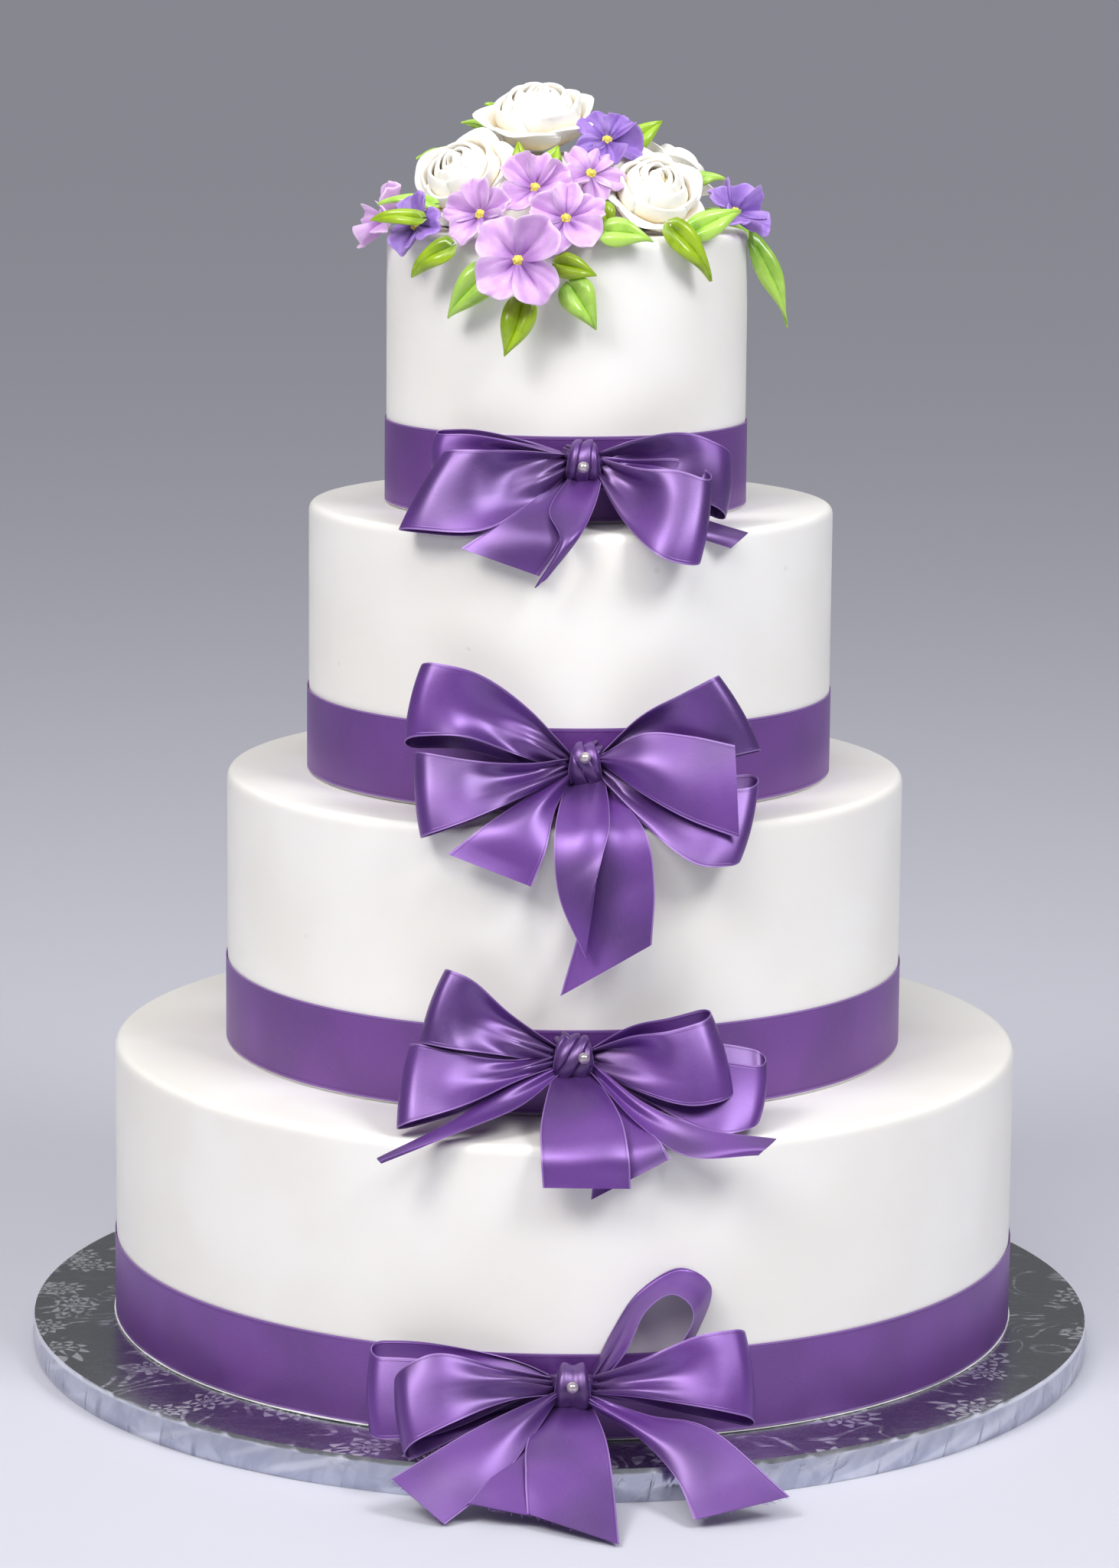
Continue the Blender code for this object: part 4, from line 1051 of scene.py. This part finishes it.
def add_frays(form, tail, seed):
    """Loose threads that stand out of a tail's cut end."""
    rng = np.random.default_rng(seed)
    end = tail[-1]
    along = end - tail[-4]
    along /= np.linalg.norm(along, axis=1, keepdims=True)
    for _ in range(FRAY_COUNT):
        place = rng.random() * (len(end) - 2)
        column = int(place)
        root = end[column] + (end[column + 1] - end[column]) * (place - column)
        over = end[column + 1] - end[column]
        over /= np.linalg.norm(over)
        length = rng.uniform(*FRAY_LENGTH) * MM
        lean = rng.normal() * 0.6
        steps = np.linspace(0, 1, 5)[:, None]
        line = root + (along[column] * steps + over * lean * steps ** 2) * length
        line = line - along[column] * 0.3 * MM
        strip = np.stack([line - over * FRAY_THICK, line + over * FRAY_THICK], axis=1)
        form.sheet(strip, FRAY_THICK * 2, flat_map(5, 2))


def top_point(point):
    """Millimetres from the middle of the top tier's top, in the room."""
    across, _, _, top = tier_shape(4)
    return Vector((across, 0, top)) + Vector(point) * MM


def facing_vector(facing):
    """The direction of an azimuth and an elevation in degrees."""
    azimuth, elevation = (math.radians(angle) for angle in facing)
    level = math.cos(elevation)
    return Vector((math.cos(azimuth) * level, math.sin(azimuth) * level, math.sin(elevation)))


def facing_frame(middle, facing):
    """The frame of a flower: its middle, with its own up along the way it faces."""
    turn = facing_vector(facing).to_track_quat("Z", "Y").to_matrix().to_4x4()
    return Matrix.Translation(top_point(middle)) @ turn


def rose_petal(ring, turn, rng):
    """One petal of a rose of radius one: a curved blade from its base up to its rim."""
    _, base_radius, base_height, rim_radius, rim_height, half_arc, bulge, curl = ring
    t, s = petal_grid(*ROSE_GRID)
    arch = 1 - 0.34 * np.abs(s) ** 2.4 + 0.02 * np.cos(3.1 * s + rng.uniform(0, 6))
    height = base_height + (rim_height * rng.uniform(0.96, 1.04) - base_height) * t * arch
    radius = base_radius + (rim_radius - base_radius) * t + bulge * np.sin(np.pi * t ** 0.9)
    rolled = curl * t ** 4 * (1 + 0.6 * np.cos(2.2 * s + rng.uniform(-0.6, 0.6)))
    pinched = 0.9 * curl * t ** 6 * hump(s, 0, 0.28)
    frill = 0.012 * t ** 3 * np.sin(6 * s + rng.uniform(0, 6))
    radius = radius + rolled + 0.05 * s * rim_radius + pinched + frill
    radius = radius * (1 - 1.1 * curl * np.abs(s) ** 3 * t ** 3)
    angle = np.radians(turn + s * half_arc * (0.62 + 0.38 * t ** 0.6))
    return about_axis(radius, angle, height - curl * 0.5 * t ** 8)


def petal_grid(rows, columns, root=0.0):
    """How far out and how far across each point of a petal is, closer together at its rim."""
    t = root + (1 - root) * np.sin(np.linspace(0, np.pi / 2, rows))[:, None]
    s = np.sin(np.linspace(-np.pi / 2, np.pi / 2, columns))[None, :]
    return t, s


def rounded_rim(t, s):
    """The share of a petal's thickness that is left as it rounds off to its rim."""
    return np.sqrt(np.clip((1 - np.abs(s) ** 8) * (1 - t ** 14), 0.01, 1))


def build_rose(name, middle, facing, size, turn, look, foot_shade_look):
    """A rose: rings of petals round the dome of icing that they are piped on."""
    rng = np.random.default_rng(sum(map(ord, name)))
    place = facing_frame(middle, facing)
    form = Form()
    t, s = petal_grid(*ROSE_GRID)
    thick = (0.13 - 0.05 * t) * size * MM * rounded_rim(t, s)
    for index, ring in enumerate(ROSE_RINGS):
        petals = ring[0]
        for petal in range(petals):
            at = turn + 360 * petal / petals + index * 47 + rng.uniform(-7, 7)
            form.sheet(in_room(rose_petal(ring, at, rng) * size, place), thick, petal_map(t, s))
    rise = np.linspace(0, 1, 14)[:, None]
    angle = 2 * np.pi * full_turn(40)[None]
    radius = 0.44 * np.sin(np.pi * np.clip(rise, 0.001, 0.999) ** 0.8) ** 0.5 + 0.02 * np.cos(5 * angle)
    radius = radius * np.minimum(1, 6 * rise * (1 - rise) + 0.02)
    dome = about_axis(radius, angle, -0.44 + 0.95 * rise)[::-1]
    # The dome takes the cream finish, as painted shade between the petals.
    form.skin(in_room(dome * size, place), flat_map(14, 40), 1, across=True)
    form.make(f"piped_{name}", [look, foot_shade_look], [name])


def flower_petal(length, width, rise, cup, rng):
    """One petal of a flower of radius one: cupped, furrowed down its middle and ruffled."""
    t, s = petal_grid(*FLOWER_GRID, FLOWER_ROOT)
    point = rng.uniform(2.0, 2.8)
    reach = length * (0.58 + 0.42 * (1 - np.abs(s) ** point) ** 0.6)
    reach = reach * (1 + 0.035 * np.sin(6 * s + rng.uniform(0, 6)))
    wide = length * width * (0.12 + 0.88 * (1 - (1 - t) ** 1.7))
    lean = rng.uniform(-0.45, 0.45)
    sides = cup * np.abs(s) ** 2.2 * (1 + lean * s) * t ** 0.8
    furrow = 0.12 * hump(s, 0, 0.24) * np.sin(np.pi * t ** 0.8)
    ruffle = 0.09 * t ** 2 * np.sin(rng.uniform(4.0, 7.0) * s + rng.uniform(0, 6))
    crimp = 0.025 * t ** 4 * np.sin(rng.uniform(13, 18) * s + rng.uniform(0, 6))
    ribs = 0.016 * np.sin(np.pi * t) * np.cos(12 * s + rng.uniform(0, 6))
    height = length * (rise * t ** 1.5 + sides - furrow + ruffle + crimp + ribs - 0.08 * t ** 5)
    return np.stack([t * reach, wide * s + 0.05 * length * lean * t ** 2, height], axis=-1)


def build_flower(name, middle, facing, size, spin, petals, look, centre_look):
    """A flower: its petals, every other one on top, and a cluster of dots at its centre."""
    rng = np.random.default_rng(sum(map(ord, name)) + 3)
    place = facing_frame(middle, facing)
    out = place.to_3x3() @ Vector((0, 0, 1))
    form = Form()
    t, s = petal_grid(*FLOWER_GRID)
    thick = (2.3 - 0.7 * t) * MM * rounded_rim(t, s)
    for petal in range(petals):
        turn = spin + 360 * (petal + 0.5) / petals + rng.uniform(-8, 8)
        width = (0.43 if petals == 5 else 0.54) * rng.uniform(0.9, 1.08)
        length, rise, cup = rng.uniform(0.92, 1.08), rng.uniform(-0.05, 0.50), rng.uniform(0.14, 0.40)
        spun = np.array(Matrix.Rotation(math.radians(turn), 3, "Z"))
        points = flower_petal(length, width, rise, cup, rng) @ spun.T * size
        points[..., 2] += 0.5 * (petal % 2)
        points = clear_of_cake(in_room(points, place), out, FLOWER_CLEARANCE)
        form.sheet(points, thick, petal_map(t, s))
    bumps = [((0, 0, 1.4), 1.9)]
    for index in range(8):
        angle = 2 * math.pi * index / 8 + rng.uniform(-0.2, 0.2)
        bumps.append(((1.5 * math.cos(angle), 1.5 * math.sin(angle), 1.2 + rng.uniform(-0.2, 0.3)), 1.1))
    for at, radius in bumps:
        form.skin(in_room(ball(radius, 9, 12) + np.array(at), place), flat_map(9, 12), 1, across=True)
    form.make(f"piped_{name}", [look, centre_look], [name])


def leaf_sheet(length, width, rng):
    """A piped leaf in millimetres: two swollen halves, a furrow between them and a drawn-out tip."""
    t, s = petal_grid(*LEAF_GRID)
    full = np.sin(np.pi * np.clip(t, 0, 0.9999) ** 0.56) ** 0.75
    half = width / 2 * full * (1 - 0.8 * t ** 2.6) * (1 + 0.05 * np.sin(7 * t + rng.uniform(0, 6)))
    half = half + 0.35 * (1 - 0.6 * t)
    lobes = -0.16 * length * np.abs(s) ** 1.6 * (1 - t) ** 3
    wave = 0.035 * length * np.sin(2.2 * np.pi * t + rng.uniform(0, 6)) * s
    swell = 0.18 * width * np.sin(np.pi * np.abs(s)) ** 1.4 * full
    arch = length * 0.08 * np.sin(np.pi * t) + 0.04 * length * t ** 3 * rng.uniform(-1, 1)
    bent = 0.08 * length * t ** 2 * rng.uniform(-1, 1)
    return np.stack([half * s + bent, length * t + lobes, arch + swell + wave], axis=-1)


def build_leaf(name, root, tip, width, facing, yellow, looks):
    """A leaf laid from its root to its tip, turned up the way it faces."""
    rng = np.random.default_rng(sum(map(ord, name)) * 7)
    along = Vector(tip) * MM - Vector(root) * MM
    out = facing_vector(facing)
    across = along.cross(out).normalized()
    out = across.cross(along).normalized()
    place = Matrix((across, along.normalized(), out)).transposed().to_4x4()
    place.translation = top_point(root)
    points = in_room(leaf_sheet(along.length / MM * 1.02, width, rng), place)
    points = clear_of_cake(points, out, LEAF_CLEARANCE)
    t, s = petal_grid(*LEAF_GRID)
    thick = (0.6 + 1.5 * np.sin(np.pi * np.clip(t, 0.04, 0.96)) ** 0.6) * MM * rounded_rim(t, s)
    form = Form()
    form.sheet(points, thick, petal_map(t, s))
    look = looks[0 if yellow < 0.34 else 1 if yellow < 0.67 else 2]
    form.make(f"piped_{name}", [look], [name])


def build_mound(look):
    """The icing that the flowers are set on: the CAD dome, rounded off."""
    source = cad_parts["mound"]
    item = in_scene("icing_mound", source.data.copy())
    item.data.materials.clear()
    item.data.materials.append(look)
    item.data.uv_layers.new(name="flat")
    weld = item.modifiers.new("weld", "WELD")
    weld.merge_threshold = 0.01 * MM
    soft = item.modifiers.new("round off", "SUBSURF")
    soft.levels = soft.render_levels = 3
    item.data.shade_smooth()
    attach(item, "root")
    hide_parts("mound")


def build_floor(look):
    """A plain floor that reaches far enough for its edge to stay out of sight."""
    mesh = bpy.data.meshes.new("floor")
    corners = [(x * FLOOR_REACH, y * FLOOR_REACH, 0) for x, y in ((-1, -1), (1, -1), (1, 1), (-1, 1))]
    mesh.from_pydata(corners, [], [(0, 1, 2, 3)])
    mesh.materials.append(look)
    floor = in_scene("floor", mesh)
    floor.location.z = -0.02 * MM


def softbox(name, place, target, width, height, power, colour):
    """A rectangular light of a width, a height and a power in watts, aimed at its target."""
    light = bpy.data.lights.new(name, "AREA")
    light.shape = "RECTANGLE"
    light.size = width
    light.size_y = height
    light.energy = power
    light.color = colour
    item = in_scene(name, light)
    item.location = place
    item.rotation_euler = (Vector(target) - Vector(place)).to_track_quat("-Z", "Y").to_euler()


def light_studio():
    """Two large softboxes high on each side, two small ones for the upper tiers, and soft fill."""
    softbox("left softbox", (-1.50, -1.55, 2.35), (0, 0, 0.34), 0.95, 1.0, 32.5, (1.0, 0.985, 0.96))
    softbox("right softbox", (1.60, -1.45, 2.3), (0, 0, 0.34), 0.95, 1.0, 34.5, (0.97, 0.98, 1.0))
    softbox("high left softbox", (-0.80, -1.0, 1.36), (0, 0, 0.54), 0.5, 0.5, 4.4, (1.0, 0.99, 0.97))
    softbox("high right softbox", (0.85, -0.98, 1.36), (0, 0, 0.54), 0.5, 0.5, 5.0, (0.98, 0.99, 1.0))
    softbox("overhead", (0.0, 0.5, 2.2), (0, 0, 0.40), 1.6, 1.2, 8, (1.0, 1.0, 1.0))
    room = bpy.data.lights.new("soft room light", "SUN")
    room.energy = 1.0
    room.angle = math.radians(38)
    in_scene("soft room light", room).rotation_euler = (math.radians(38), 0, math.radians(-12))
    world = bpy.data.worlds.new("studio")
    world.use_nodes = True
    background = world.node_tree.nodes["Background"]
    background.inputs["Color"].default_value = (0.80, 0.82, 0.87, 1)
    background.inputs["Strength"].default_value = 0.19
    bpy.context.scene.world = world


def set_camera():
    camera = bpy.data.cameras.new("photo view")
    camera.sensor_fit = "VERTICAL"
    camera.sensor_height = camera.sensor_width = CAMERA_FILM
    camera.lens = CAMERA_LENS
    item = in_scene("photo view", camera)
    forward = Vector((0, math.cos(CAMERA_PITCH), -math.sin(CAMERA_PITCH)))
    up = Vector((0, math.sin(CAMERA_PITCH), math.cos(CAMERA_PITCH)))
    right = Vector((1, 0, 0))
    rolled_right = right * math.cos(CAMERA_ROLL) + up * math.sin(CAMERA_ROLL)
    rolled_up = up * math.cos(CAMERA_ROLL) - right * math.sin(CAMERA_ROLL)
    matrix = Matrix((rolled_right, rolled_up, -forward)).transposed().to_4x4()
    matrix.translation = Vector(CAMERA_PLACE)
    item.matrix_world = matrix
    bpy.context.scene.camera = item


def build_cake():
    """Every piece of the cake, from the board up."""
    icing = icing_finish()
    satin = satin_finish("purple satin", shade(98, 44, 132), shade(84, 36, 116))
    # The bows' satin is the bands' satin painted darker as shade, with painted shade near each knot.
    shaded_bow_satin = satin_finish("purple bow satin with painted shade", shade(90, 40, 132), shade(56, 22, 92), 0.85)
    pearl = pearl_finish()
    lilac = petal_finish(
        "lilac buttercream", shade(241, 214, 245), shade(211, 167, 223), shade(150, 96, 176))
    violet = petal_finish(
        "violet buttercream", shade(186, 156, 224), shade(143, 105, 192), shade(92, 56, 144))
    rose = petal_finish(
        "white rose buttercream", shade(251, 249, 244), shade(250, 246, 238), shade(240, 216, 158), 0.85)
    # The cream of the dome under each rose is painted shade where it shows between the petals.
    rose_foot_shade = petal_finish(
        "rose foot cream", shade(246, 236, 208), shade(240, 226, 188), shade(232, 212, 160))
    leaves = [
        leaf_finish("green leaf buttercream", shade(176, 216, 92), shade(128, 178, 56)),
        leaf_finish("mid leaf buttercream", shade(164, 202, 56), shade(118, 160, 30)),
        leaf_finish("moss leaf buttercream", shade(158, 188, 32), shade(110, 142, 16)),
    ]
    centre = centre_finish()
    build_board(foil_finish(), foil_edge_finish(), underside_finish())
    build_bead(bead_finish())
    build_tiers(icing)
    build_bands(satin)
    for number in TIERS:
        build_bow(number, shaded_bow_satin, pearl)
    build_mound(icing)
    for rose_facts in ROSES:
        build_rose(*rose_facts, rose, rose_foot_shade)
    for flower in FLOWERS:
        build_flower(*flower, lilac if flower[0].startswith("lilac") else violet, centre)
    for leaf in LEAVES:
        build_leaf(*leaf, leaves)


build_cake()
build_floor(floor_finish())
light_studio()
set_camera()
bpy.context.scene.view_settings.view_transform = "Standard"
